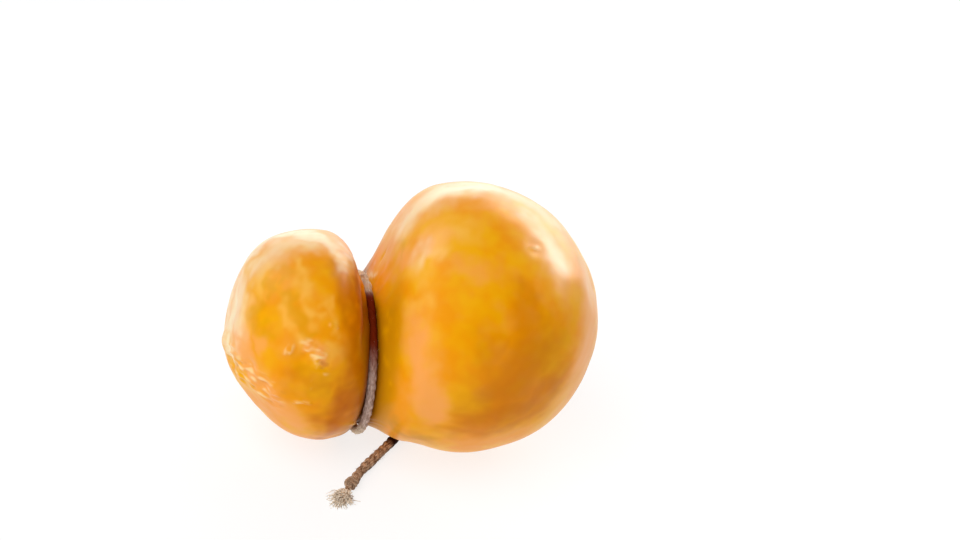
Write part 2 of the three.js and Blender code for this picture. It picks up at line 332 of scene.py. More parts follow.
def fibre_grids(starts, reach, bends, thickness, rings=7, sides=5, low=0.06, curl=0, curl_turns=1):
    """Fibres from starts: the middle line is start + reach * t + bend * t^2 plus a circle round it of
    radius curl * t, run through curl_turns times from a place that differs from fibre to fibre.

    The fibre's own radius shrinks as 1 - 0.6 t, and its section is a regular polygon. No point goes
    below low. Returns the grids and the points that close their two ends.
    """
    t = np.linspace(0, 1, rings)[None, :, None]
    heading = reach / np.linalg.norm(reach, axis=1, keepdims=True)
    side = np.cross(heading, [0.31, 0.17, 0.93])
    side /= np.linalg.norm(side, axis=1, keepdims=True)
    top = np.cross(heading, side)
    phase = (GOLDEN_ANGLE * np.arange(len(starts)))[:, None, None] + 2 * np.pi * curl_turns * t
    line = starts[:, None] + reach[:, None] * t + bends[:, None] * t ** 2
    line = line + curl * t * (np.cos(phase) * side[:, None] + np.sin(phase) * top[:, None])
    angle = 2 * np.pi * np.arange(sides) / sides
    across = np.cos(angle)[:, None] * side[:, None] - np.sin(angle)[:, None] * top[:, None]
    radius = (thickness[:, None] / 2) * (1 - 0.6 * t[..., 0])
    line[..., 2] = np.maximum(line[..., 2], low + radius)
    points = line[:, :, None] + radius[..., None, None] * across[:, None]
    return points, line[:, 0], line[:, -1]


# %% The frayed tuft: a fan of fibres, shorter and browner towards its right
TUFT_FROM = np.array([-34.5, -36.3, 1.4])
TUFT_LEFT = math.radians(-150)
TUFT_RIGHT = math.radians(-68)
TUFT_FIBRES = 300
TUFT_RINGS = 12
TUFT_UV_LENGTH = 7
TUFT_LENGTH = 4.6
TUFT_BULGE = 1.9
TUFT_SHORTER = (0.6, 1.0)
TUFT_LIFT = (-0.7, 1.9)
TUFT_ROOTS = np.array([0.38, 0.38, 0.342])
TUFT_BEND = np.array([0.8, 0.8, 0.64])
TUFT_SAG = np.array([0, 0, 1.2])
TUFT_THICKNESS = (0.22, 0.5)
BROWN_FROM = 0.62
BROWN_RISE = 1.4
BROWN_SCATTER = 0.4
BROWN_MOST = 0.8
random = np.random.default_rng(11)
share = random.uniform(0, 1, TUFT_FIBRES)
heading = TUFT_LEFT + (TUFT_RIGHT - TUFT_LEFT) * share
length = TUFT_LENGTH + TUFT_BULGE * (np.sin(np.pi * share ** 0.8) - share ** 2)
length *= random.uniform(*TUFT_SHORTER, TUFT_FIBRES)
tuft_starts = TUFT_FROM + TUFT_ROOTS * random.normal(size=(TUFT_FIBRES, 3))
tuft_reach = np.stack([
    length * np.cos(heading),
    length * np.sin(heading),
    random.uniform(*TUFT_LIFT, TUFT_FIBRES),
], axis=1)
tuft_bends = TUFT_BEND * random.normal(size=(TUFT_FIBRES, 3)) - TUFT_SAG
tuft_thickness = random.uniform(*TUFT_THICKNESS, TUFT_FIBRES)
tuft_points, tuft_first, tuft_last = fibre_grids(
    tuft_starts, tuft_reach, tuft_bends, tuft_thickness, rings=TUFT_RINGS, curl=0.7, curl_turns=0.9)
brown_fibres = BROWN_RISE * (share - BROWN_FROM) + BROWN_SCATTER * random.normal(size=TUFT_FIBRES)
brown_fibres = np.clip(brown_fibres, 0, BROWN_MOST)[:, None, None]
tuft = add_piece(
    "frayed_tuft", tuft_points, tuft_first, tuft_last, np.linspace(0, TUFT_UV_LENGTH, TUFT_RINGS),
    masks={"stain": np.broadcast_to(brown_fibres, tuft_points.shape[:3])})
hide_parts("tail_end")

# %% The binding turn: a flattened helix of one ply round the strand
BINDING_AT = np.array([-32.7, -32.6, 1.7])
BINDING_TURNS = (-0.2, 1.35)
BINDING_MIDDLE = 0.6
BINDING_PITCH = 1.5
BINDING_HALF_WIDTH = 1.35
BINDING_HALF_HEIGHT = 1.2
BINDING_LOWEST = 0.8
BINDING_RADIUS = 0.78
BINDING_STAIN = 0.1
TAIL_HEADING = np.array([-0.42, -0.9, 0])
TAIL_SIDE = np.array([0.9, -0.42, 0])


def even_stain(points, amount):
    """The same stain on every point of one grid, as the masks of a piece."""
    return {"stain": np.full((1, *points.shape[:2]), amount)}


turns = np.linspace(*BINDING_TURNS, 60)
wrap = 2 * np.pi * turns
binding_line = (
    BINDING_AT
    + (turns - BINDING_MIDDLE)[:, None] * BINDING_PITCH * TAIL_HEADING
    + BINDING_HALF_WIDTH * np.cos(wrap)[:, None] * TAIL_SIDE
    + BINDING_HALF_HEIGHT * np.sin(wrap)[:, None] * TABLE_UP
)
binding_line[:, 2] = np.maximum(binding_line[:, 2], BINDING_LOWEST)
binding_points, binding_along = twine_grid(
    evenly(binding_line, 0.2), BINDING_RADIUS, TAIL_HEADING, plies=2, turn=4, sides=20)
binding = add_piece(
    "tail_binding", binding_points[None], binding_line[:1], binding_line[-1:], binding_along,
    masks=even_stain(binding_points, BINDING_STAIN))
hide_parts("tail_end")

# %% The twist past the binding, and the tail as a cord
TWIST_KNOTS = [
    [-32.6, -32.8, 1.55], [-33.2, -34.2, 1.6], [-34.2, -35.8, 1.5], [-35.2, -37.6, 1.3],
]
TWIST_RADIUS = 1.0
TWIST_STAIN = 0.2
twist_line = smooth_line(TWIST_KNOTS, 0.2)
twist_points, twist_along = twine_grid(
    twist_line, TWIST_RADIUS, TABLE_UP, plies=2, ply=0.62, turn=4.5, sides=24)
twist = add_piece(
    "tail_twist", twist_points[None], twist_line[:1], twist_line[-1:], twist_along,
    masks=even_stain(twist_points, TWIST_STAIN))
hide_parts("tail_end")

# %% [markdown]
# ## The cheese's shape
# The cheese is a bag of curd, so every cut across it is nearly a circle. A lathe profile would be too
# regular, because the middle line sags from the ball down to the neck. So the profile is a list of
# stations, each with its place along the cheese, its radius and its height, and the skin is the
# circles through them. The stations are the same curves as in the solid, only closer together, and
# the points of a ring crowd towards the side that the camera sees.

# %% Sizes of the profile
SHOULDER_X = -16.5
NECK_X = -30
NECK_RADIUS = 21.7
NECK_SLOPE = 1.05
SAG_START_X = -10.5
SAG = 13.4
SAG_POWER = 1.95
HEAD_X = -42.6
HEAD_RADIUS = 30.9
HEAD_Z = 30.85
HEAD_FRONT = 27.1
HEAD_BACK = 15.9
FRONT_POWER = 1.98
BACK_POWER = 2.08
HEAD_TILT = -0.165
TIP_DROOP = 5.6
DROOP_POWER = 7.5
FACE_RADIUS = 22.5
LOOP_X = -30.6
LOOP_Z = 25.6
LOOP_RADIUS = 23.1
LOOP_TWIST = math.radians(4.3)
LOOP_REACH = 7
SHOULDER_HANDLE = 0.9
FACE_HANDLE = (0.35, -1.9)
HANDLE_Z = (-0.2, 0.1)
print("from the ball's end to the head's tip:", round(BALL_RADIUS - HEAD_X + HEAD_FRONT, 1), "mm")


# %% Stretches of the profile
def body_height(x):
    """Middle line of the ball and shoulder: level, then falling by a power of the way to the neck."""
    return BALL_Z - SAG * np.maximum((SAG_START_X - x) / (SAG_START_X - NECK_X), 0) ** SAG_POWER


def head_height(x):
    """Middle line of the head: a straight tilt, less a power that bends down only its very tip."""
    reach = np.clip((HEAD_X - x) / HEAD_FRONT, 0, 1)
    return HEAD_Z + HEAD_TILT * (x - HEAD_X) - TIP_DROOP * reach ** DROOP_POWER


def ball_stretch(t):
    """A circle of the ball's radius, from its far pole to the shoulder."""
    angle = math.acos(SHOULDER_X / BALL_RADIUS) * t
    x = BALL_RADIUS * np.cos(angle)
    return np.stack([x, BALL_RADIUS * np.sin(angle), body_height(x)], axis=1)


def shoulder_stretch(t):
    """A Hermite cubic in the radius, from the ball's own slope to the neck's."""
    span = SHOULDER_X - NECK_X
    start = math.sqrt(BALL_RADIUS ** 2 - SHOULDER_X ** 2)
    radius = (
        (2 * t ** 3 - 3 * t ** 2 + 1) * start
        + (t ** 3 - 2 * t ** 2 + t) * span * SHOULDER_X / start
        + (3 * t ** 2 - 2 * t ** 3) * NECK_RADIUS
        - (t ** 3 - t ** 2) * span * NECK_SLOPE
    )
    x = SHOULDER_X - span * t
    return np.stack([x, radius, body_height(x)], axis=1)


def head_back(angle):
    """The face of the head towards the neck: a quarter of a superellipse."""
    x = HEAD_X + HEAD_BACK * np.cos(angle) ** (2 / BACK_POWER)
    return np.stack([x, HEAD_RADIUS * np.sin(angle) ** (2 / BACK_POWER), head_height(x)], axis=-1)


face_angle = math.asin((FACE_RADIUS / HEAD_RADIUS) ** (BACK_POWER / 2))


def groove_stretch(t):
    """A Bezier cubic from the shoulder in under the twine and out to the head's face."""
    start = np.array([NECK_X, NECK_RADIUS, body_height(NECK_X)])
    end = head_back(np.array(face_angle))
    inner = [start[0] - SHOULDER_HANDLE, start[1] - SHOULDER_HANDLE * NECK_SLOPE, LOOP_Z + HANDLE_Z[0]]
    outer = [end[0] + FACE_HANDLE[0], end[1] + FACE_HANDLE[1], LOOP_Z + HANDLE_Z[1]]
    t = t[:, None]
    return (
        (1 - t) ** 3 * start
        + 3 * t * (1 - t) ** 2 * np.array(inner)
        + 3 * t ** 2 * (1 - t) * np.array(outer)
        + t ** 3 * end
    )


def front_stretch(t):
    """The head's front: a quarter of another superellipse, out to the tip."""
    angle = np.pi / 2 * (1 - t)
    x = HEAD_X - HEAD_FRONT * np.cos(angle) ** (2 / FRONT_POWER)
    return np.stack([x, HEAD_RADIUS * np.sin(angle) ** (2 / FRONT_POWER), head_height(x)], axis=1)


def back_stretch(t):
    """The head's face from the groove to the widest ring."""
    return head_back(face_angle + (np.pi / 2 - face_angle) * t)


def steps(count):
    """Even steps from just after 0 up to 1."""
    return np.arange(1, count + 1) / count


# %% All stations, and the places round a ring
RINGS = {"ball": 86, "shoulder": 34, "groove": 26, "back": 36, "front": 148}
SIDES = 292
NEAR_ANGLE = math.radians(85)
NEAR_CROWDING = 0.42
stations = np.concatenate([
    ball_stretch(np.array([0.0])),
    ball_stretch(steps(RINGS["ball"])),
    shoulder_stretch(steps(RINGS["shoulder"])),
    groove_stretch(steps(RINGS["groove"])),
    back_stretch(steps(RINGS["back"])),
    front_stretch(steps(RINGS["front"])),
])
even_angle = 2 * np.pi * np.arange(SIDES) / SIDES
ring_angle = even_angle - NEAR_CROWDING * np.sin(even_angle - NEAR_ANGLE)
closest = 2 * np.pi * HEAD_RADIUS / SIDES * (1 - NEAR_CROWDING)
print(len(stations), "stations, with at least", round(closest, 2), "mm between points of the head")


# %% Rings through the stations
def ring_points(stations, angle):
    """Each ring is a circle of the station's radius: angle 0 at the top, 90 degrees at the near side.
    Near the twine the rings turn with it about the vertical, which shears x by the near distance."""
    x, radius, height = (stations[:, column, None] for column in range(3))
    near = radius * np.sin(angle)
    shear = math.tan(LOOP_TWIST) * np.exp(-((x - LOOP_X) / LOOP_REACH) ** 2)
    return np.stack([x + near * shear, -near, height + radius * np.cos(angle)], axis=-1)


def outward(points):
    """Normals of a closed grid: the cross product of the steps along and round it, made 1 long."""
    along = np.gradient(points, axis=0)
    round_it = np.roll(points, -1, axis=1) - np.roll(points, 1, axis=1)
    normal = np.cross(along, round_it)
    length = np.linalg.norm(normal, axis=-1, keepdims=True)
    return normal / np.maximum(length, 1e-9)


def print_box(what, points):
    """Prints the least and greatest x, y and z of an array of points, in millimetres."""
    points = points.reshape(-1, 3)
    print(what, "in mm:", np.round(points.min(axis=0), 1), "to", np.round(points.max(axis=0), 1))


skin = ring_points(stations, ring_angle)
skin_normals = outward(skin)
skin_normals[0] = [1, 0, 0]
skin_normals[-1] = [-1, 0, 0]
print_box("smooth skin", skin)

# %% [markdown]
# ## What hands, knocks and drying leave
# The curd was pinched off at the head's tip, which left a torn lip, a notch and a patch of crags, and
# something has scraped a scar across its side. These could be sculpted by hand, but as formulas they
# stay editable: broad swells are soft round spots, crags are crumbly noise inside two torn patches,
# and the flakes of the scar, the nicks and the wrinkles of the lip are narrow ridges along short
# lines. The skin is also drawn into fine pleats towards the twine. All of them move the skin along
# its normal.

# %% Broad swells, the same as in the solid
SWELLS = [
    # in each row: x, y and z of the middle, reach, and height or, below 0, depth
    # torn lip and notch at the head's tip
    [-69.4, -4.6, 30.6, 3.6, 1.3], [-67.8, -9.2, 26.2, 3.2, -1.3], [-65, -13.4, 24.4, 2.6, 0.6],
    # craggy patch below the tip
    [-62.6, -20.2, 32.2, 2.6, -0.7], [-60.6, -22.2, 30.6, 2.2, 0.5], [-58.8, -23.8, 28.4, 2.6, -0.8],
    [-56.2, -26, 27.6, 2.4, 0.5], [-61, -19.4, 25.4, 3, 0.6],
    # scar across the head's side
    [-53, -26.7, 42.4, 2.6, 0.6], [-49.4, -28.6, 39.4, 3.2, -0.7], [-46.1, -29, 41.2, 2.8, 0.5],
    [-44.6, -30.2, 36.8, 2.4, 0.4],
    # broad swells and flats of the head
    [-60.5, 10, 54.5, 8, 0.9], [-68.6, -3.6, 40.5, 5, -0.9], [-64.5, 14, 40, 9, 0.8],
    [-47, 24, 46, 10, -0.7], [-52, 21, 22, 9, 0.7], [-60.8, -16, 17.5, 8, -1],
    [-38.5, -20.5, 8.5, 7, -0.7],
    # blemish and broad flats of the ball, and a flat on the far side of the shoulder
    [12.6, -18, 72.8, 2.8, -0.5], [35.6, -9, 57.6, 13, -0.7], [33.6, -21.1, 34.6, 12, -0.3],
    [39, 4, 46, 9, 0.4], [10, 30, 65, 16, 0.5], [24, 25, 19, 13, -0.6], [-25.8, 20, 49, 6, -0.9],
    # hollow that the free tail has pressed under the shoulder
    [-17.3, -1.5, 1.8, 8.5, -2.6],
]
relief = soft_spots(skin, SWELLS)
print("swells from", round(relief.min(), 2), "to", round(relief.max(), 2), "mm")


# %% Crags of the torn patches
def near_line(points, knots):
    """Distance from each point to a line of straight pieces: the least of its distances to them."""
    knots = np.asarray(knots, dtype=float)
    least = np.full(points.shape[:-1], np.inf)
    for start, end in zip(knots[:-1], knots[1:]):
        step = end - start
        t = np.clip(((points - start) @ step) / (step @ step), 0, 1)
        least = np.minimum(least, np.linalg.norm(points - start - t[..., None] * step, axis=-1))
    return least


CRAG_PATCHES = [
    # in each row: line of knots and reach, first below the lip, then the scraped patch on the side
    ([[-66.6, -11.5, 26.5], [-65, -14.5, 27.5], [-61, -20.5, 28], [-57, -24.8, 26.5]], 4.8),
    ([[-48.6, -28, 43.6], [-45.4, -28.8, 43], [-43.9, -29.4, 40.8], [-44.3, -30, 38.6]], 2.3),
]
CRAG_HEIGHT = 0.32
CRAG_STEEPNESS = 0.7
CRUMB_STRETCH = [0.7, 0.8, 1.4]
COARSE_CRUMBS = 0.8
SMALL_CRUMBS = 0.35
crag_patch = sum(np.exp(-(near_line(skin, knots) / reach) ** 4) for knots, reach in CRAG_PATCHES)
stretched = skin * CRUMB_STRETCH
crumbs = COARSE_CRUMBS * waves(stretched, 3.6, seed=21) + SMALL_CRUMBS * waves(stretched, 1.9, seed=22)
relief += CRAG_HEIGHT * crag_patch * np.tanh(CRAG_STEEPNESS * crumbs)
print("crags cover", round(100 * float((crag_patch > 0.5).mean()), 1), "% of the skin's points")

# %% The scar, flakes and nicks
SCARS = [
    # in each row: line of knots, half width, and height of the ridge
    ([[-54.2, -26.6, 40.8], [-53.4, -26.8, 43.2]], 0.55, 0.4),
    ([[-53.0, -27.2, 41.2], [-52.2, -27.1, 43.3]], 0.55, 0.4),
    ([[-48.6, -27.9, 43.2], [-46.6, -28.3, 43.7], [-44.8, -28.8, 42.9]], 0.8, 0.3),
    ([[-45.6, -29.4, 40.6], [-44.9, -29.9, 38.9]], 0.8, 0.25),
    ([[-42.4, -24.9, 49.2], [-40.9, -24.9, 48.5]], 0.5, 0.4),
    ([[-50.6, -29.0, 26.4], [-48.4, -29.6, 27.2], [-46.4, -30.1, 27.0]], 0.5, 0.45),
    ([[-46.6, -29.8, 34.6], [-46.4, -30.1, 31.8]], 0.4, 0.25),
    ([[12.0, -18.6, 72.9], [13.1, -17.7, 72.8]], 0.6, 0.5),
    # wrinkles of the lip, and a crumb beside the twine
    ([[-69.9, -5.9, 30.6], [-67.6, -11.8, 33.4]], 0.6, 0.45),
    ([[-69.4, -6.3, 27.6], [-66.9, -12.6, 31.6]], 0.6, 0.45),
    ([[-33.4, -24.0, 17.0], [-32.7, -22.9, 16.2]], 0.6, 0.7),
    # crease on top of the shoulder
    ([[-26.8, 3.0, 55.6], [-25.4, 2.6, 58.4]], 0.5, -0.35),
]
ridges = np.zeros(skin.shape[:-1])
for knots, half_width, height in SCARS:
    ridges += height * np.exp(-(near_line(skin, knots) / half_width) ** 2)
relief += ridges
print("relief now from", round(relief.min(), 2), "to", round(relief.max(), 2), "mm")

# %% Pleats towards the twine and the unevenness of the skin
PLEAT_ROWS = [
    # in each row: pleats round the neck, share and phase
    (31, 1, 0), (47, 0.7, 2), (19, 0.5, 4),
]
PLEAT_HEIGHT = 0.07
PLEAT_X = NECK_X + 1.5
PLEAT_REACH = 5.5
PLEATS_EVERYWHERE = 0.55
PLEATS_IN_PLACES = 0.45
BROAD_WAVES = 0.13
SMALL_WAVES = 0.018
pleat_angle = ring_angle + 0.05 * np.sin(5 * ring_angle) + 0.03 * np.sin(11 * ring_angle + 1)
pleats = sum(share * np.cos(count * pleat_angle + phase) for count, share, phase in PLEAT_ROWS)
pleats = pleats * np.exp(-((stations[:, 0, None] - PLEAT_X) / PLEAT_REACH) ** 2)
relief += PLEAT_HEIGHT * pleats * (PLEATS_EVERYWHERE + PLEATS_IN_PLACES * waves(skin, 18, seed=31))
relief += BROAD_WAVES * waves(skin, 17, seed=32) + SMALL_WAVES * waves(skin, 5, seed=33)
skin = skin + relief[..., None] * skin_normals
print_box("skin with its relief", skin)

# %% [markdown]
# ## Where the twine presses
# Soft curd bulges up round whatever presses into it. A boolean cut would leave sharp edges, so the
# skin is pushed away from the twine's middle line instead. The push fades in smoothly: the distance
# becomes clearance + width * ln(1 + exp((distance - clearance) / width)), which is never less than
# the clearance and soon no different from the old distance. Before that, the head's face beside the
# twine is moved by a band that follows the turn: high up the face stands back and shows the groove,
# and lower down it swells against the twine.

# %% The middle line of the turn, and the head's face beside it
FACE_STANDS_BACK = 1.5
FACE_SWELL = 0.5
FACE_TURNS = (40, 85)
FACE_FROM_LOOP = 4.8
FACE_REACH = 2.8


def loop_point(angle):
    """The middle line of the turn round the neck: a circle, turned about the vertical by the twist."""
    near = LOOP_RADIUS * np.sin(angle)
    return np.stack([
        LOOP_X + near * math.sin(LOOP_TWIST),
        -near * math.cos(LOOP_TWIST),
        LOOP_Z + LOOP_RADIUS * np.cos(angle),
    ], axis=-1)


def beside_loop(points, angle):
    """Distance from each point to the middle line of the turn at that angle."""
    return np.linalg.norm(points - loop_point(angle), axis=-1)


sideways = np.arctan2(-skin[..., 1], skin[..., 2] - LOOP_Z)
from_top = np.degrees(np.abs(sideways))
on_face = skin[..., 0] < loop_point(sideways)[..., 0]
face_band = np.exp(-((beside_loop(skin, sideways) - FACE_FROM_LOOP) / FACE_REACH) ** 2)
low_down = smooth_step(from_top, *FACE_TURNS)
face_swell = ((FACE_SWELL + FACE_STANDS_BACK) * low_down - FACE_STANDS_BACK) * on_face * face_band
skin = skin + face_swell[..., None] * skin_normals
print("the face moves from", round(face_swell.min(), 2), "to", round(face_swell.max(), 2), "mm")


# %% Pressing the skin away from the turn, the knot and the tail
BED_CLEARANCE = 0.12
BED_SOFTNESS = 0.3
LOOP_SUNK = 0.3
KNOT_ANGLE = math.radians(225)
KNOT_RADIUS = 3.1
KNOT_OUTSET = 1.5
TAIL_BED_TOP = 12


def press_away(points, centres, clearance):
    """Moves points away from the centre given for each, by the soft rule above."""
    away = points - centres
    distance = np.linalg.norm(away, axis=-1, keepdims=True)
    excess = (distance - clearance) / BED_SOFTNESS
    softened = clearance + BED_SOFTNESS * np.logaddexp(0, excess)
    return centres + away * softened / np.maximum(distance, 1e-6)


def nearest_of(points, line):
    """For each point the nearest point of a line, found by going through the line's points."""
    nearest = np.broadcast_to(line[0], points.shape).copy()
    least = np.linalg.norm(points - line[0], axis=-1)
    for spot in line[1:]:
        distance = np.linalg.norm(points - spot, axis=-1)
        closer = distance < least
        nearest[closer] = spot
        least = np.minimum(least, distance)
    return nearest


knot_out = loop_point(np.array(KNOT_ANGLE)) - [LOOP_X, 0, LOOP_Z]
knot_centre = loop_point(np.array(KNOT_ANGLE)) + KNOT_OUTSET * knot_out / np.linalg.norm(knot_out)
skin = press_away(skin, loop_point(sideways), TWINE_DIAMETER / 2 - LOOP_SUNK)
skin = press_away(skin, np.broadcast_to(knot_centre, skin.shape), KNOT_RADIUS + BED_CLEARANCE)
low = skin[..., 2] < TAIL_BED_TOP
tail_beside = nearest_of(skin[low], tail_line[::3])
skin[low] = press_away(skin[low], tail_beside, TWINE_DIAMETER / 2 + BED_CLEARANCE)
skin[..., 2] = np.maximum(skin[..., 2], 0)
print_box("pressed skin", skin)

# %% [markdown]
# ## Where the smoke has coloured it, and where light and shade are painted
# Smoke and drying don't colour a cheese evenly. Peach patches are thin young skin, honey mottles lie
# where it dried first, deeper orange is where smoke lay longest, an olive brown lines the neck where
# the skin folded on itself, and cream shows where the curd was torn. Light and shade are painted
# into some zones too: the deep orange is mostly painted shade, low on the ball and on the head
# towards the twine; the brown fold is also painted shade of the crease and under the shoulder; the
# dark of the neck is painted shade of the groove; the cream on the edges is a painted rim reflection,
# with painted highlights beside it; and a few peach strokes paint a highlight and the table's
# reflection. A noise texture alone would put these anywhere. So each zone is a few soft strokes along
# short lines on the skin, like strokes of a brush, kept as a number for every point, and the material
# mixes its colours by them. The strokes are measured in slightly wavy space, so that no edge looks
# drawn.

# %% Peach and honey strokes
BLUSH_AND_HIGHLIGHT = [
    # in each row: line of knots, half width and strength
    # tall patch on the ball beside the neck
    ([[-19.6, -30.5, 51], [-18.4, -34.3, 44.2], [-16.5, -36.3, 35.9], [-13.4, -36.4, 29.4]], 5.2, 0.95),
    # pale patches above it and on the shoulder; the first two are a painted highlight from the left
    ([[-22.4, -11.5, 62.7], [-18, -14.3, 69.7]], 3.8, 0.85),
    ([[-14.8, -11.6, 73.8], [-12.6, -15.9, 73.6]], 3, 0.45),
    ([[-10.7, -24.9, 68.6], [-3.6, -26.7, 68.8]], 3, 0.4),
    ([[-26.2, -3.6, 56.2], [-24.6, -12.1, 56.8]], 2.5, 0.6),
    # far end and underside of the ball; the first row is also the painted glow round the long
    # highlight, and the last a painted reflection of the table on the lower edge
    ([[9.8, -8.7, 77.1], [15.7, -17.1, 71.7], [21.9, -23.7, 62.9]], 4.5, 0.4),
    ([[31, -12, 61.5], [31, -16.5, 56.5], [32, -20, 49], [31, -25, 43]], 6, 0.9),
    ([[29, -28, 37], [23, -32, 31]], 4, 0.25),
    ([[-9, -34, 19.6], [-2, -33.9, 18], [5, -33.4, 18], [14.9, -33, 22]], 3, 0.25),
    # from the lip down the head's near side, and below its upper edge
    ([[-66.3, -14, 36.5], [-63.4, -19, 31.3], [-57.5, -24.5, 26.5], [-50, -26.2, 18.5]], 5, 0.9),
    ([[-60.8, -21, 41.5], [-60, -22.5, 39]], 2.5, 0.7),
    # the scraped patch on its side
    ([[-48.2, -28, 43.6], [-45.4, -28.7, 43], [-43.6, -29.4, 40.6]], 1.8, 0.9),
    # the far side
    ([[-17, 30, 52], [-11, 36, 44], [-2, 38, 42]], 5, 0.7),
    ([[8, 33, 58], [20, 30, 52]], 4.5, 0.6),
    ([[-61, 18, 38], [-53, 26, 33]], 5, 0.7),
]
HONEY = [
    # mottles of the head
    ([[-51.3, -9.6, 59.9], [-51.8, -15.8, 56.6], [-48.3, -21, 53.4], [-46, -23.9, 50.5]], 2.2, 0.8),
    ([[-56.2, -19.2, 51.4], [-53.7, -23.2, 48.5], [-50.4, -26, 46.2]], 2.4, 0.75),
    ([[-59.6, -7.5, 56.2], [-61.6, -11.5, 52.2]], 2.6, 0.8),
    ([[-42.6, -20.2, 54.2], [-41.9, -24.9, 48.8]], 1.6, 0.6),
    ([[-65, -9.5, 47], [-65.4, -13.5, 41.5]], 2.4, 0.8),
    ([[-43, -28, 44.4], [-40.2, -28.8, 42.4]], 2.8, 0.7),
    # cream-yellow area on top of the shoulder, and paler spots beside the tall patch
    ([[-18.5, -19, 65.5], [-14, -13.5, 73.5], [-8, -14, 75]], 5, 0.9),
    ([[-21.5, -24.5, 55.5], [-16.5, -27.5, 58]], 3.2, 0.7),
    # the far side
    ([[-52, 20, 50], [-46, 26, 42]], 3, 0.7),
    ([[6, 34, 56], [14, 36, 48]], 3.5, 0.6),
]
print(len(BLUSH_AND_HIGHLIGHT), "peach strokes and", len(HONEY), "honey strokes")

# %% Deep orange strokes that are mostly painted shade, and painted shade under the shoulder
DEEP_AND_SHADE = [
    # broad painted shade low on the ball, and a band of it down the ball
    ([[-1, -38.4, 28.8], [5.1, -38.9, 31.8], [13.6, -37.2, 34.3], [19.5, -34.8, 38.6]], 7, 0.65),
    ([[14, -35.8, 50.4], [9, -38.4, 42], [3, -39.5, 37]], 9, 0.6),
    ([[8.3, -31, 63.1], [10.2, -33.6, 58.5], [14, -35.8, 50.4]], 5, 0.4),
    ([[-1, -38.1, 51], [-0.5, -39.8, 41]], 5.5, 0.35),
    ([[-7, -35.5, 23.5], [2, -36.5, 24.5], [11, -36.2, 27], [18.5, -34, 31]], 4.2, 0.5),
    # head: painted shade, darkest towards the twine
    ([[-40.4, -9.6, 59.6], [-37.1, -18, 53.3], [-35.3, -24.5, 44.4], [-35.2, -28.1, 35.3]], 3.3, 0.65),
    ([[-35.9, -4, 57.8], [-34.6, -9, 56.5], [-35.2, -15, 53.5]], 2.4, 0.8),
    ([[-35.6, -28.8, 30.2], [-38.5, -29.7, 24], [-38.5, -25.6, 14.5]], 5, 0.85),
    ([[-39.1, -24.2, 12.6], [-41.4, -20.9, 8.8]], 2.6, 0.7),
    ([[-50, -29.3, 35.8], [-44.5, -31, 33]], 4.5, 0.4),
    # the far side
    ([[10, 38, 40], [16, 33, 28], [6, 33, 20]], 7, 0.5),
    ([[-40, 25, 40], [-44, 29, 28]], 4.5, 0.6),
]
SHADE_UNDER_SHOULDER = [
    # painted shade along the underside of the shoulder
    ([[-26, -20.5, 18], [-23.5, -24.2, 19.3], [-18, -28.2, 16.3], [-12.5, -29.6, 14]], 3.8, 0.75),
]
print(len(DEEP_AND_SHADE) + len(SHADE_UNDER_SHOULDER), "deep strokes")

# %% Olive strokes, and cream strokes that are mostly a painted rim reflection
OLIVE = [
    # head
    ([[-62.4, -14.1, 49.1], [-62.2, -17.9, 44.9], [-59, -21.9, 44.3]], 2.6, 0.6),
    ([[-59.4, -12.7, 53.9], [-54.1, -19.1, 53], [-49.7, -24.2, 49.3], [-47.8, -25.9, 47.6]], 1.8, 0.6),
    ([[-57.4, -9.1, 57.3], [-55.3, -12.8, 56.9]], 2, 0.5),
    # line down the shoulder, and cooler patches of the ball
    ([[-26.1, -16.8, 48.4], [-25.8, -21.9, 41.7], [-25.1, -25.6, 34.2], [-23.9, -27.4, 27]], 1.3, 0.8),
    ([[-22.7, -2, 64.7], [-22.7, -8.8, 63.1]], 1.2, 0.5),
    ([[-23.8, -21.8, 50.5], [-23.2, -25.3, 47.1]], 1.2, 0.5),
    ([[21.8, -30.8, 52.6], [20.4, -34, 43.7]], 3, 0.35),
    # the far side
    ([[-25, 22, 44], [-25, 24, 34]], 1.5, 0.6),
    ([[-56, 18, 50], [-50, 24, 46]], 2.5, 0.5),
    ([[24, 26, 52], [28, 24, 44]], 3, 0.4),
]
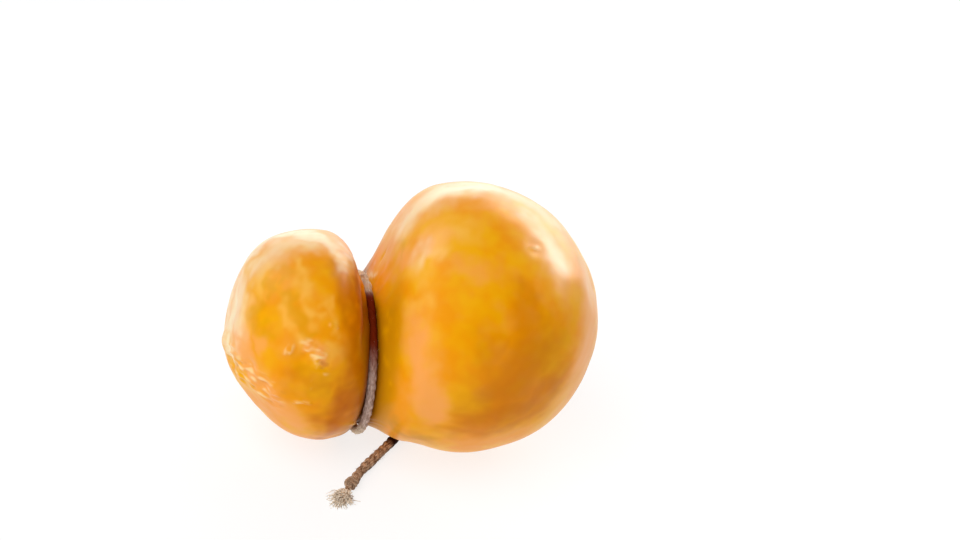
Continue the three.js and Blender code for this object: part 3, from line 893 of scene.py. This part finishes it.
CREAM_AND_RIM_LIGHT = [
    # painted rim reflection along the left edge and the upper edge of the head, and on the lip, where
    # some of the cream is torn curd
    ([[-67.4, 1.4, 44], [-68.2, -2.5, 40], [-68.4, -6, 35.5]], 4, 0.95),
    ([[-66.5, 7.5, 44], [-68, 5, 38.5], [-69, -1, 34]], 4, 0.8),
    ([[-66.2, 0, 47], [-66.2, -6.2, 45], [-65.9, -12, 41.5]], 4.5, 0.6),
    ([[-68, -10.3, 34.3], [-66.6, -13, 33.5]], 2.4, 0.6),
    ([[-69.7, -6.9, 31.6], [-68.5, -8.2, 29]], 2.6, 1),
    ([[-65, 8, 48.5], [-60.7, 8.5, 56], [-56, 8.5, 59], [-50, 8, 60.5]], 5, 0.9),
    ([[-61.5, -2.5, 55.5], [-56, -0.5, 59.6], [-49, 0, 61.5]], 5.5, 0.6),
    ([[-49, 4, 61.5], [-45, 2, 62], [-40.8, -1, 60.9]], 4, 0.9),
    ([[-40.8, -1, 60.9], [-38.8, -5.5, 59.3]], 2.6, 0.75),
    ([[-38.8, -5.5, 59.3], [-38.8, -11, 57.6]], 1.9, 0.5),
    # painted rim reflection on top of the ball and of the shoulder
    ([[-20.7, 3.5, 68], [-15.5, 3, 75], [-8, 6, 78], [2.3, 8, 78.5]], 6, 0.75),
    ([[2.3, 8, 78.5], [12, 5, 77.5], [21, -1, 73.5]], 6, 0.5),
    ([[21, -1, 73.5], [28.5, -7, 66], [33, -11, 58]], 5, 0.3),
    # painted highlights: on the ridge by the notch, on the soft patch lit from the left, and under the
    # long highlight
    ([[-29.3, 9.6, 46.3], [-28.3, 1.8, 51.9]], 1.6, 0.8),
    ([[-18.6, -14.5, 68.5], [-16.6, -18.5, 67.5]], 3, 0.4),
    ([[13, -6, 76.3], [17.9, -12.7, 72.7], [20.2, -19.6, 67.6]], 4, 0.4),
    # the far side
    ([[-66, 10, 36], [-64, 14, 28]], 2.5, 0.6),
]
print(len(OLIVE), "olive strokes and", len(CREAM_AND_RIM_LIGHT), "cream strokes")


# %% Strokes measured in wavy space
WARPS = {8: 0.9, 3: 0.35}
WARP_SEED = 40
warped = skin.copy()
for size, amount in WARPS.items():
    seeds = [WARP_SEED + size + axis for axis in range(3)]
    warped += amount * np.stack([waves(skin, size, seed) for seed in seeds], axis=-1)


def strokes(rows, crispness):
    """The most that any stroke gives: strength * exp(-(distance to its line / half width)^crispness).
    The points are first moved by noise, so the space that the distance is measured in is wavy."""
    most = np.zeros(warped.shape[:-1])
    for knots, half_width, strength in rows:
        given = strength * np.exp(-(near_line(warped, knots) / half_width) ** crispness)
        most = np.maximum(most, given)
    return most


print("wavy space moves a point by up to", round(np.abs(warped - skin).max(), 1), "mm along an axis")

# %% The brown fold with its painted shade, the neck's painted shade, and the open skin that shows a rim
FOLD_X = -26.2
FOLD_REACH = 3.4
FOLD_AT_TOP = 0.15
FOLD_TURNS = (15, 40)
NECK_REACH_SHOULDER = 2.6
NECK_REACH_HEAD = 5.8
NECK_LIGHT_TOP = (10, 30)
RIM_RISES = (12, 48)
RIM_LOW = 0.3
NECK_WITHOUT_RIM = (4, 14)
# the fold is a browner band beside the twine, darkened as painted shade of the crease, and it takes in
# the painted shade under the shoulder
fold_and_shade = np.exp(-((skin[..., 0] - FOLD_X) / FOLD_REACH) ** 4)
fold_and_shade *= FOLD_AT_TOP + (1 - FOLD_AT_TOP) * smooth_step(from_top, *FOLD_TURNS)
fold_and_shade = np.maximum(fold_and_shade, strokes(SHADE_UNDER_SHOULDER, crispness=2))
# painted shade of the groove: darkest next to the twine, reaching further on the head's side, and
# fading out towards the top
from_neck = beside_loop(skin, sideways)
on_shoulder = skin[..., 0] > loop_point(sideways)[..., 0]
neck_reach = np.where(on_shoulder, NECK_REACH_SHOULDER, NECK_REACH_HEAD)
neck_painted_shade = np.exp(-(from_neck / neck_reach) ** 2) * smooth_step(from_top, *NECK_LIGHT_TOP)
rim_share = RIM_LOW + (1 - RIM_LOW) * smooth_step(skin[..., 2], *RIM_RISES)
rim_share *= smooth_step(from_neck, *NECK_WITHOUT_RIM)
print("fold on", int((fold_and_shade > 0.5).sum()), "points, dark neck on", int((neck_painted_shade > 0.5).sum()))

# %% All masks, and the skin as a piece
# The flakes are paler torn curd on the raised crumbs and scar ridges and also a painted highlight on
# them; the pits are painted shade in the hollows between the crumbs.
FLAKE_SHARE = 0.85
FLAKE_CRUMBS = (0.3, 1.5)
RIDGE_SHARE = 1.1
SCRAP_NOISE = (-0.6, 0.9)
HOLLOW_SHADE_SHARE = 0.5
HOLLOW_SHADE_CRUMBS = (0.9, 2)
scraps = smooth_step(waves(skin, 2.2, seed=45), *SCRAP_NOISE)
flakes_and_glints = FLAKE_SHARE * crag_patch * smooth_step(crumbs, *FLAKE_CRUMBS) + RIDGE_SHARE * ridges * scraps
masks = {
    "honey": strokes(HONEY, crispness=2.5),
    "blush_and_highlight": strokes(BLUSH_AND_HIGHLIGHT, crispness=3),
    "deep_and_shade": strokes(DEEP_AND_SHADE, crispness=2),
    "olive": strokes(OLIVE, crispness=2.5),
    "cream_and_rim_light": strokes(CREAM_AND_RIM_LIGHT, crispness=2),
    "fold_and_shade": fold_and_shade,
    "neck": neck_painted_shade,
    "flakes_and_glints": np.clip(flakes_and_glints, 0, 1),
    "crag_hollow_shade": HOLLOW_SHADE_SHARE * crag_patch * smooth_step(-crumbs, *HOLLOW_SHADE_CRUMBS),
    "open": (1 - fold_and_shade) * (1 - neck_painted_shade) * rim_share,
}
cheese = add_piece(
    "cheese_skin", skin[None, 1:-1], skin[:1, :1].reshape(1, 3), skin[-1:, :1].reshape(1, 3),
    masks={key: values[None, 1:-1] for key, values in masks.items()})
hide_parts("cheese")

# %% [markdown]
# ## The turn round the neck and its knot
# One turn of the same twine draws the neck in, and its ends are tied on the far lower side. The turn
# is a circle that breaks off inside the knot. The knot is two and a half tight turns over the strand,
# a helix whose coils lie against each other, because a plain lump would not read as something tied.

# %% The turn: painted shade where the cheese closes over it, painted light on top and low down
DRAWN_THIN = 0.92
LOOP_PLY = 0.74
LOOP_UNEVENNESS = 0.03
LOOP_BREAK = 2.2
# angles of the painted shade on the near and the far side, and of the painted light at the notch and
# low down
NEAR_SHADE = ((9, 19), (50, 84))
FAR_SHADE = ((25, 45), (50, 75))
LIT_TOP = ((-30, -20), (4, 16))
LIT_LOW = (112, 140)
LIT_LOW_SHARE = 0.4
ALONG_CHEESE = np.array([1, 0, 0])


def between_angles(angle, rises, falls):
    """1 between two angles in degrees: it rises over the first pair and falls over the second."""
    return smooth_step(angle, *rises) * (1 - smooth_step(angle, *falls))


knot_half = LOOP_BREAK / LOOP_RADIUS
loop_angle = np.linspace(KNOT_ANGLE + knot_half, KNOT_ANGLE + 2 * np.pi - knot_half, 900)
loop_line = evenly(loop_point(loop_angle), 0.3)
loop_radius = TWINE_DIAMETER / 2 * DRAWN_THIN * (1 + LOOP_UNEVENNESS * waves(loop_line, 7, seed=51))
loop_points, loop_along = twine_grid(loop_line, loop_radius, ALONG_CHEESE, ply=LOOP_PLY)
loop_side = np.degrees(np.arctan2(-loop_points[..., 1], loop_points[..., 2] - LOOP_Z))
stained = between_angles(loop_side, *NEAR_SHADE) + between_angles(-loop_side, *FAR_SHADE)
painted_light = between_angles(loop_side, *LIT_TOP)
painted_light += LIT_LOW_SHARE * smooth_step(loop_side, *LIT_LOW)
neck_loop = add_piece(
    "neck_loop", loop_points[None], loop_line[:1], loop_line[-1:], loop_along,
    masks={"stain": np.clip(stained, 0, 1)[None], "painted_light_amount": painted_light[None]})
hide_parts("neck_twine")

# %% The knot: a helix whose strand winds round across the neck
KNOT_TURNS = 2.6
KNOT_PITCH = 2.05
KNOT_COIL = 1.95
KNOT_STRAND = 1.2
KNOT_STAIN = 0.35
knot_axis = np.cross(knot_out, ALONG_CHEESE)
knot_axis /= np.linalg.norm(knot_axis)
knot_across = np.cross(knot_axis, ALONG_CHEESE)
knot_turns = np.linspace(0, KNOT_TURNS, 160)
knot_wrap = 2 * np.pi * knot_turns
knot_line = (
    knot_centre
    + ((knot_turns - KNOT_TURNS / 2) * KNOT_PITCH)[:, None] * knot_axis
    + KNOT_COIL * np.cos(knot_wrap)[:, None] * ALONG_CHEESE
    + KNOT_COIL * np.sin(knot_wrap)[:, None] * knot_across
)
knot_points, knot_along = twine_grid(
    evenly(knot_line, 0.25), KNOT_STRAND, knot_axis, turn=7, sides=30)
knot = add_piece(
    "neck_knot_turns", knot_points[None], knot_line[:1], knot_line[-1:], knot_along,
    masks=even_stain(knot_points, KNOT_STAIN))
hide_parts("neck_knot")

# %% [markdown]
# ## Loose fibres
# Natural twine is never clean: short fibres stand off it, and at the top of the neck some pale ones
# have sprung loose. They are too thin to carry much colour, but they break the twine's outline the
# way real fuzz does. Each short one starts on the twine's surface and leans along it. The pale ones
# follow a few listed directions, and each of these is repeated with small random changes.

# %% Fuzz on the tail and the loop
def fuzz(name, grid, count, length, lean, thickness, seed):
    """Short fibres on a twine: from seeded points of its grid, in the direction out from the middle
    line plus lean times the direction along it, forwards or backwards, and bent by a random amount."""
    random = np.random.default_rng(seed)
    ring = random.integers(2, grid.shape[0] - 3, count)
    side = random.integers(0, grid.shape[1], count)
    centres = grid.mean(axis=1)
    starts = grid[ring, side]
    out = starts - centres[ring]
    out /= np.linalg.norm(out, axis=1, keepdims=True)
    onward = centres[ring + 2] - centres[ring]
    onward /= np.linalg.norm(onward, axis=1, keepdims=True)
    sign = random.choice([-1, 1], count)[:, None]
    reach = length * random.uniform(0.4, 1, (count, 1)) * (out + lean * sign * onward)
    bends = 0.35 * length * random.normal(size=(count, 3))
    width = thickness * random.uniform(0.7, 1.3, count)
    points, first, last = fibre_grids(starts - 0.1 * out, reach, bends, width, rings=6, sides=3)
    piece = add_piece(name, points, first, last, np.linspace(0, length, 6))
    return piece


TAIL_RINGS_HIDDEN = 130
tail_fuzz = fuzz(
    "tail_fuzz", tail_points[TAIL_RINGS_HIDDEN:], count=130, length=0.7, lean=1.1, thickness=0.09,
    seed=61)
loop_fuzz = fuzz(
    "loop_fuzz", loop_points, count=160, length=0.6, lean=1.4, thickness=0.08,
    seed=62)

# %% Pale fibres sprung loose at the top of the neck
TOP_FIBRES = [
    # in each row: start, reach and bend
    [[-31.6, 3.2, 50.2], [0.6, -1.4, 1.2], [0.5, -1.0, -1.4]],
    [[-30.9, 1.4, 50.2], [1.0, -1.6, 0.7], [-0.8, -1.2, -0.6]],
    [[-31.4, 0.2, 50.2], [0.2, -1.8, 0.6], [1.1, -0.8, -0.9]],
    [[-30.4, -1.0, 50.1], [0.7, -1.3, 0.5], [-0.5, -1.6, -0.6]],
    [[-31.2, -1.8, 50.0], [0.9, -1.0, 0.6], [0.3, -1.4, -1.2]],
    [[-31.0, 5.0, 50.0], [-0.6, -1.9, 0.9], [0.9, -0.6, -0.5]],
    [[-30.2, 3.4, 50.2], [-0.8, -1.5, 0.7], [0.2, -1.6, -0.4]],
]
TOP_REPEATS = 7
TOP_CHANGES = np.array([0.25, 0.35, 0.35])[:, None]
TOP_THICKNESS = 0.34
TOP_RINGS = 9
TOP_UV_LENGTH = 4
random = np.random.default_rng(71)
top_rows = np.repeat(np.array(TOP_FIBRES), TOP_REPEATS, axis=0)
top_rows = top_rows + TOP_CHANGES * random.normal(size=top_rows.shape)
top_thickness = np.full(len(top_rows), TOP_THICKNESS)
top_points, top_first, top_last = fibre_grids(
    top_rows[:, 0], top_rows[:, 1], top_rows[:, 2], top_thickness, rings=TOP_RINGS)
top_fibres = add_piece(
    "top_fibres", top_points, top_first, top_last, np.linspace(0, TOP_UV_LENGTH, TOP_RINGS))

# %% [markdown]
# ## Materials
# A finish is a small graph of nodes. One function adds a node, sets it and links it, and another
# turns the hex colours of a colour picker into the linear numbers that Blender mixes.

# %% Helpers for materials
def colour(code):
    """sRGB hex to linear: c / 12.92 up to 0.04045, else ((c + 0.055) / 1.055) ^ 2.4, and alpha 1."""
    parts = [int(code[at:at + 2], 16) / 255 for at in (1, 3, 5)]
    return tuple(c / 12.92 if c <= 0.04045 else ((c + 0.055) / 1.055) ** 2.4 for c in parts) + (1,)


def new_material(name):
    """An empty material of that name, its node tree, and its shader already linked to the output."""
    material = bpy.data.materials.new(name)
    material.use_nodes = True
    tree = material.node_tree
    tree.nodes.clear()
    output = tree.nodes.new("ShaderNodeOutputMaterial")
    shader = tree.nodes.new("ShaderNodeBsdfPrincipled")
    tree.links.new(shader.outputs[0], output.inputs["Surface"])
    return material, tree, shader


def add(tree, kind, settings=None, output=0, **inputs):
    """Adds a node, sets its settings, and sets or links its inputs. Returns one of its outputs.

    An input is named by its name in lower case with _ for a space, or by its place as in_0, in_1.
    """
    node = tree.nodes.new(kind)
    for key, value in (settings or {}).items():
        setattr(node, key, value)
    named = {socket.name.lower().replace(" ", "_"): socket for socket in reversed(node.inputs)}
    for key, value in inputs.items():
        socket = node.inputs[int(key[3:])] if key.startswith("in_") else named[key]
        if isinstance(value, bpy.types.NodeSocket):
            tree.links.new(value, socket)
        else:
            socket.default_value = value
    return node.outputs[output]


def blend_colours(tree, amount, under, over):
    """Mixes two colours by an amount: (1 - amount) * under + amount * over. The Mix node's inputs 0, 6
    and 7 and its output 2 are the ones for colours."""
    return add(
        tree, "ShaderNodeMix", {"data_type": "RGBA"}, output=2, in_0=amount, in_6=under, in_7=over)


def mask_value(tree, mask):
    """The number that a piece carries under that name, or 0 where it carries none."""
    return add(tree, "ShaderNodeAttribute", {"attribute_name": mask}, output=2)


def noise(tree, vector, size, settings=None, **inputs):
    """Soft noise whose features are that many millimetres apart, for coordinates in metres."""
    return add(tree, "ShaderNodeTexNoise", settings, vector=vector, scale=1 / (size * MM), **inputs)


def between_values(tree, value, low, high, to_low=0.0, to_high=1.0):
    """Maps low to to_low and high to to_high in a straight line, and stays there beyond them."""
    return add(
        tree, "ShaderNodeMapRange", value=value, from_min=low, from_max=high, to_min=to_low,
        to_max=to_high)


# %% [markdown]
# ### Smoked rind
# The rind is the curd's own skin, stretched smooth in hot water, brined and smoked: a dry, slightly
# oily surface over a body that light enters. So the shader scatters a little light under the surface
# and its gloss is soft. Its base wanders between two ambers within patches a thumb's width across,
# and over that lie the zones kept on the mesh, in order, so that the painted shade of the neck and
# the torn flakes with their painted highlights come out on top. A faint sheen gives the open edges
# the milky rim of thick skin in bright light.

# %% The rind's colours: ambers and peach from noise, then the zones in this order
AMBER = "#f29900"
PALE_AMBER = "#f4ac04"
PEACH = "#f5a23c"
# Light and shade painted into these colours: the deep orange, the fold, the neck's dark and the pits
# between the crags are painted shade, the deep orange and the fold only in part; the cream is mostly a
# painted rim reflection; the flakes and a few peach strokes are partly painted highlights.
RIND_ZONES = {
    "honey": "#fbba4a", "deep_and_shade": "#c26300", "blush_and_highlight": "#f9a653", "fold_and_shade": "#cf8a04", "olive": "#e09c00",
    "cream_and_rim_light": "#fbe6bd", "crag_hollow_shade": "#c87828", "neck": "#6a2600", "flakes_and_glints": "#ffdc9c",
}
AMBER_PATCH = 11
PEACH_PATCH = 7
rind, tree, shader = new_material("stretched_curd_rind_smoked")
place = add(tree, "ShaderNodeTexCoord", output=3)
amber_noise = noise(tree, place, AMBER_PATCH, detail=2.5, roughness=0.55)
peach_noise = noise(tree, place, PEACH_PATCH, {"noise_dimensions": "4D"}, w=3, detail=2)
amber_amount = between_values(tree, amber_noise, 0.4, 0.62)
peach_amount = between_values(tree, peach_noise, 0.5, 0.7, to_high=0.45)
rind_colour = blend_colours(tree, amber_amount, colour(AMBER), colour(PALE_AMBER))
rind_colour = blend_colours(tree, peach_amount, rind_colour, colour(PEACH))
for mask, code in RIND_ZONES.items():
    rind_colour = blend_colours(tree, mask_value(tree, mask), rind_colour, colour(code))
tree.links.new(rind_colour, shader.inputs["Base Color"])
print("rind mixes", len(RIND_ZONES) + 3, "colours")

# %% The rind's pores, gloss and body
PORE_SIZE = 1.1
PORE_DEPTH = 0.015
GLOSS_PATCH = 3
ROUGHNESS = (0.29, 0.35)
LIGHT_ENTERS = 2.2
pores = noise(tree, place, PORE_SIZE, detail=2, roughness=0.5)
skin_bump = add(tree, "ShaderNodeBump", height=pores, strength=0.15, distance=PORE_DEPTH * MM)
tree.links.new(skin_bump, shader.inputs["Normal"])
gloss_noise = noise(tree, place, GLOSS_PATCH, detail=3, roughness=0.6)
tree.links.new(between_values(tree, gloss_noise, 0.3, 0.7, *ROUGHNESS), shader.inputs["Roughness"])
shader.inputs["IOR"].default_value = 1.45
shader.inputs["Specular IOR Level"].default_value = 0.1
shader.inputs["Subsurface Weight"].default_value = 0.12
shader.inputs["Subsurface Radius"].default_value = (1.0, 0.4, 0.12)
shader.inputs["Subsurface Scale"].default_value = LIGHT_ENTERS * MM
print("gloss between roughness", *ROUGHNESS)

# %% The milky rim: sheen where the open skin turns away
RIM_TURNED = (0.4, 0.75)
RIM_SHEEN = 0.45
turned_away = add(tree, "ShaderNodeLayerWeight", output=1, blend=0.5)
rim = between_values(tree, turned_away, *RIM_TURNED, to_high=RIM_SHEEN)
open_rim = add(
    tree, "ShaderNodeMath", {"operation": "MULTIPLY"}, in_0=rim, in_1=mask_value(tree, "open"))
tree.links.new(open_rim, shader.inputs["Sheen Weight"])
shader.inputs["Sheen Roughness"].default_value = 0.45
shader.inputs["Sheen Tint"].default_value = colour("#ffe9d0")
cheese.data.materials.append(rind)
print(rind.name, "has", len(tree.nodes), "nodes")

# %% [markdown]
# ### Natural twine
# Jute twine is spun from long bast fibres: matt, with fine lines along each ply that slant across the
# twine. A noise stretched along the twine's own UV map gives those lines. Round the neck it has soaked
# up fat and smoke and gone grey. Two masks on the mesh change it in places. One is painted shade,
# nearly black where the cheese closes over the turn, at the root of the tail where it comes from
# under the cheese and along the tail's lower side, and also a real browner tone on the knot, the
# binding, the twist and some fibres of the tuft. The other is painted light, cream on the turn at the
# notch on top and lighter on its lowest part.

# %% Twine finishes
DIRT_SIZE = 1.8
DIRT_MOST = 0.7
LINE_SLANT = 0.12
LINE_STRETCH = (0.55, 16, 1)
LINE_DEPTH = 0.12


def twine_material(name, pale, dark, stained, painted_light):
    """Matt fibre: noise stretched along the UV map mixes pale and dark, and two masks, where a piece
    has
    them, blend in two more colours: one for painted shade and stains, one for painted light."""
    material, tree, shader = new_material(name)
    uv = add(tree, "ShaderNodeTexCoord", output=2)
    slanted = add(
        tree, "ShaderNodeMapping", vector=uv, rotation=(0, 0, LINE_SLANT), scale=LINE_STRETCH)
    lines = add(tree, "ShaderNodeTexNoise", vector=slanted, scale=1, detail=3, roughness=0.6)
    place = add(tree, "ShaderNodeTexCoord", output=3)
    dirt = noise(tree, place, DIRT_SIZE, detail=3, roughness=0.6)
    line_amount = between_values(tree, lines, 0.35, 0.65)
    dirt_amount = between_values(tree, dirt, 0.4, 0.7, to_high=DIRT_MOST)
    fibre_colour = blend_colours(tree, line_amount, colour(dark), colour(pale))
    fibre_colour = blend_colours(tree, dirt_amount, fibre_colour, colour(dark))
    for mask, code in (("painted_light_amount", painted_light), ("stain", stained)):
        fibre_colour = blend_colours(tree, mask_value(tree, mask), fibre_colour, colour(code))
    tree.links.new(fibre_colour, shader.inputs["Base Color"])
    bump = add(tree, "ShaderNodeBump", height=lines, strength=0.8, distance=LINE_DEPTH * MM)
    tree.links.new(bump, shader.inputs["Normal"])
    shader.inputs["Roughness"].default_value = 0.85
    shader.inputs["IOR"].default_value = 1.5
    shader.inputs["Specular IOR Level"].default_value = 0.1
    return material


# the last two colours of each finish are for painted shade with stains, and for painted light
neck_finish = twine_material("jute_twine_greasy", "#d8c0b4", "#8e7266", "#6a1e03", "#fff0c8")
tail_finish = twine_material("jute_twine_dry", "#eccbab", "#68462e", "#240800", "#f4dfb4")
frayed_finish = twine_material("jute_fibre_combed", "#fff6e8", "#eedcc4", "#8a6640", "#f4dfb4")
finishes = [
    (neck_finish, (neck_loop, knot, loop_fuzz)),
    (tail_finish, (tail, binding, twist, tail_fuzz)),
    (frayed_finish, (tuft, top_fibres)),
]
for finish, pieces in finishes:
    for piece in pieces:
        piece.data.materials.append(finish)
    print(finish.name, "on", len(pieces), "pieces")

# %% [markdown]
# ## Floor and light
# The photograph is a cut-out on white. Its light is high key: a bright wall behind, which rims every
# edge, a pale table that lights the undersides and glows as a light table does, and hardly anything
# behind the camera, so the faces turned to the viewer keep their full colour. One lamp could give both
# the highlights and the brightness, but then neither could be set without the other. So the boxes that
# make highlights are hidden from diffuse rays, and the broad lights that only fill are hidden from
# glossy ones.

# %% Floor, two metres out from the middle on each side
FLOOR_HALF = 2
FLOOR_GLOW = 0.77
FLOOR_GREY = "#8c8c8c"
WHITE = "#ffffff"
floor_mesh = bpy.data.meshes.new("floor")
floor_corners = [
    (-FLOOR_HALF, -FLOOR_HALF, 0), (FLOOR_HALF, -FLOOR_HALF, 0),
    (FLOOR_HALF, FLOOR_HALF, 0), (-FLOOR_HALF, FLOOR_HALF, 0),
]
floor_mesh.from_pydata(floor_corners, [], [(0, 1, 2, 3)])
floor = bpy.data.objects.new("floor", floor_mesh)
bpy.context.scene.collection.objects.link(floor)
floor_finish, tree, shader = new_material("matt_white_light_table")
shader.inputs["Base Color"].default_value = colour(FLOOR_GREY)
shader.inputs["Roughness"].default_value = 0.9
shader.inputs["Specular IOR Level"].default_value = 0.1
shader.inputs["Emission Color"].default_value = colour(WHITE)
shader.inputs["Emission Strength"].default_value = FLOOR_GLOW
floor_mesh.materials.append(floor_finish)
print("floor of", 2 * FLOOR_HALF, "m, glowing at", FLOOR_GLOW)


# %% Soft boxes
def soft_box(name, direction, distance, size, power, upright=TABLE_UP, glossy=True, diffuse=True):
    """A flat area light that many metres from the ball's centre in that direction, turned to face it.

    Its size is its width and its height in metres, and the height runs as nearly along upright as
    facing the ball lets it. Its power is in watts. One that isn't glossy leaves no highlight, and one
    that isn't diffuse leaves nothing else.
    """
    data = bpy.data.lights.new(name, "AREA")
    data.shape = "RECTANGLE"
    data.size, data.size_y = size
    data.energy = power
    light = bpy.data.objects.new(name, data)
    direction = np.array(direction) / np.linalg.norm(direction)
    side = np.cross(upright, direction)
    side /= np.linalg.norm(side)
    turned = np.eye(4)
    turned[:3, :3] = np.stack([side, np.cross(direction, side), direction], axis=1)
    turned[:3, 3] = metres([0, 0, BALL_Z]) + distance * direction
    light.matrix_world = Matrix(turned.tolist())
    light.visible_glossy = glossy
    light.visible_diffuse = diffuse
    bpy.context.scene.collection.objects.link(light)
    print(name, power, "W")


ALONG_STREAK = (-0.65, 0.43, 0.63)
# the long highlight on the ball's right, and the faint glow round it
soft_box(
    "right_box", direction=(0.78, 0.36, 0.47), distance=0.9, size=(0.26, 0.42), power=10.5,
    upright=ALONG_STREAK, diffuse=False)
soft_box(
    "right_halo", direction=(0.68, 0.56, 0.46), distance=0.9, size=(0.6, 0.8), power=10,
    upright=ALONG_STREAK, diffuse=False)
# the soft shine on top of the head and the shoulder
soft_box(
    "left_box", direction=(-0.66, 0.22, 0.68), distance=0.9, size=(0.45, 0.5), power=4,
    diffuse=False)
# the broad light on the right edge, and the one from the left that lights the faces
soft_box(
    "right_fill", direction=(0.85, 0.2, 0.45), distance=1.2, size=(0.9, 0.9), power=5,
    glossy=False)
soft_box(
    "key", direction=(-0.5, -0.42, 0.76), distance=1.2, size=(1.4, 1.4), power=15.5,
    glossy=False)

# %% World: a bright wall behind, dim behind the camera
WORLD_FRONT = 0.1
WORLD_BACK = 4.5
WALL_WAY = (0.15, 0.98, 0.05)
WALL_EDGE = 0.72
world = bpy.data.worlds.new("studio")
world.use_nodes = True
bpy.context.scene.world = world
tree = world.node_tree
tree.nodes.clear()
output = tree.nodes.new("ShaderNodeOutputWorld")
seen_way = add(tree, "ShaderNodeTexCoord", output=0)
backness = add(
    tree, "ShaderNodeVectorMath", {"operation": "DOT_PRODUCT"}, output=1, in_0=seen_way, in_1=WALL_WAY)
brightness = add(
    tree, "ShaderNodeMapRange", {"interpolation_type": "SMOOTHSTEP"},
    value=backness, from_min=WALL_EDGE, from_max=1.0, to_min=WORLD_FRONT, to_max=WORLD_BACK)
background = add(tree, "ShaderNodeBackground", color=colour(WHITE), strength=brightness)
tree.links.new(background, output.inputs["Surface"])
bpy.context.scene.view_settings.view_transform = "Standard"
bpy.context.scene.view_settings.look = "None"
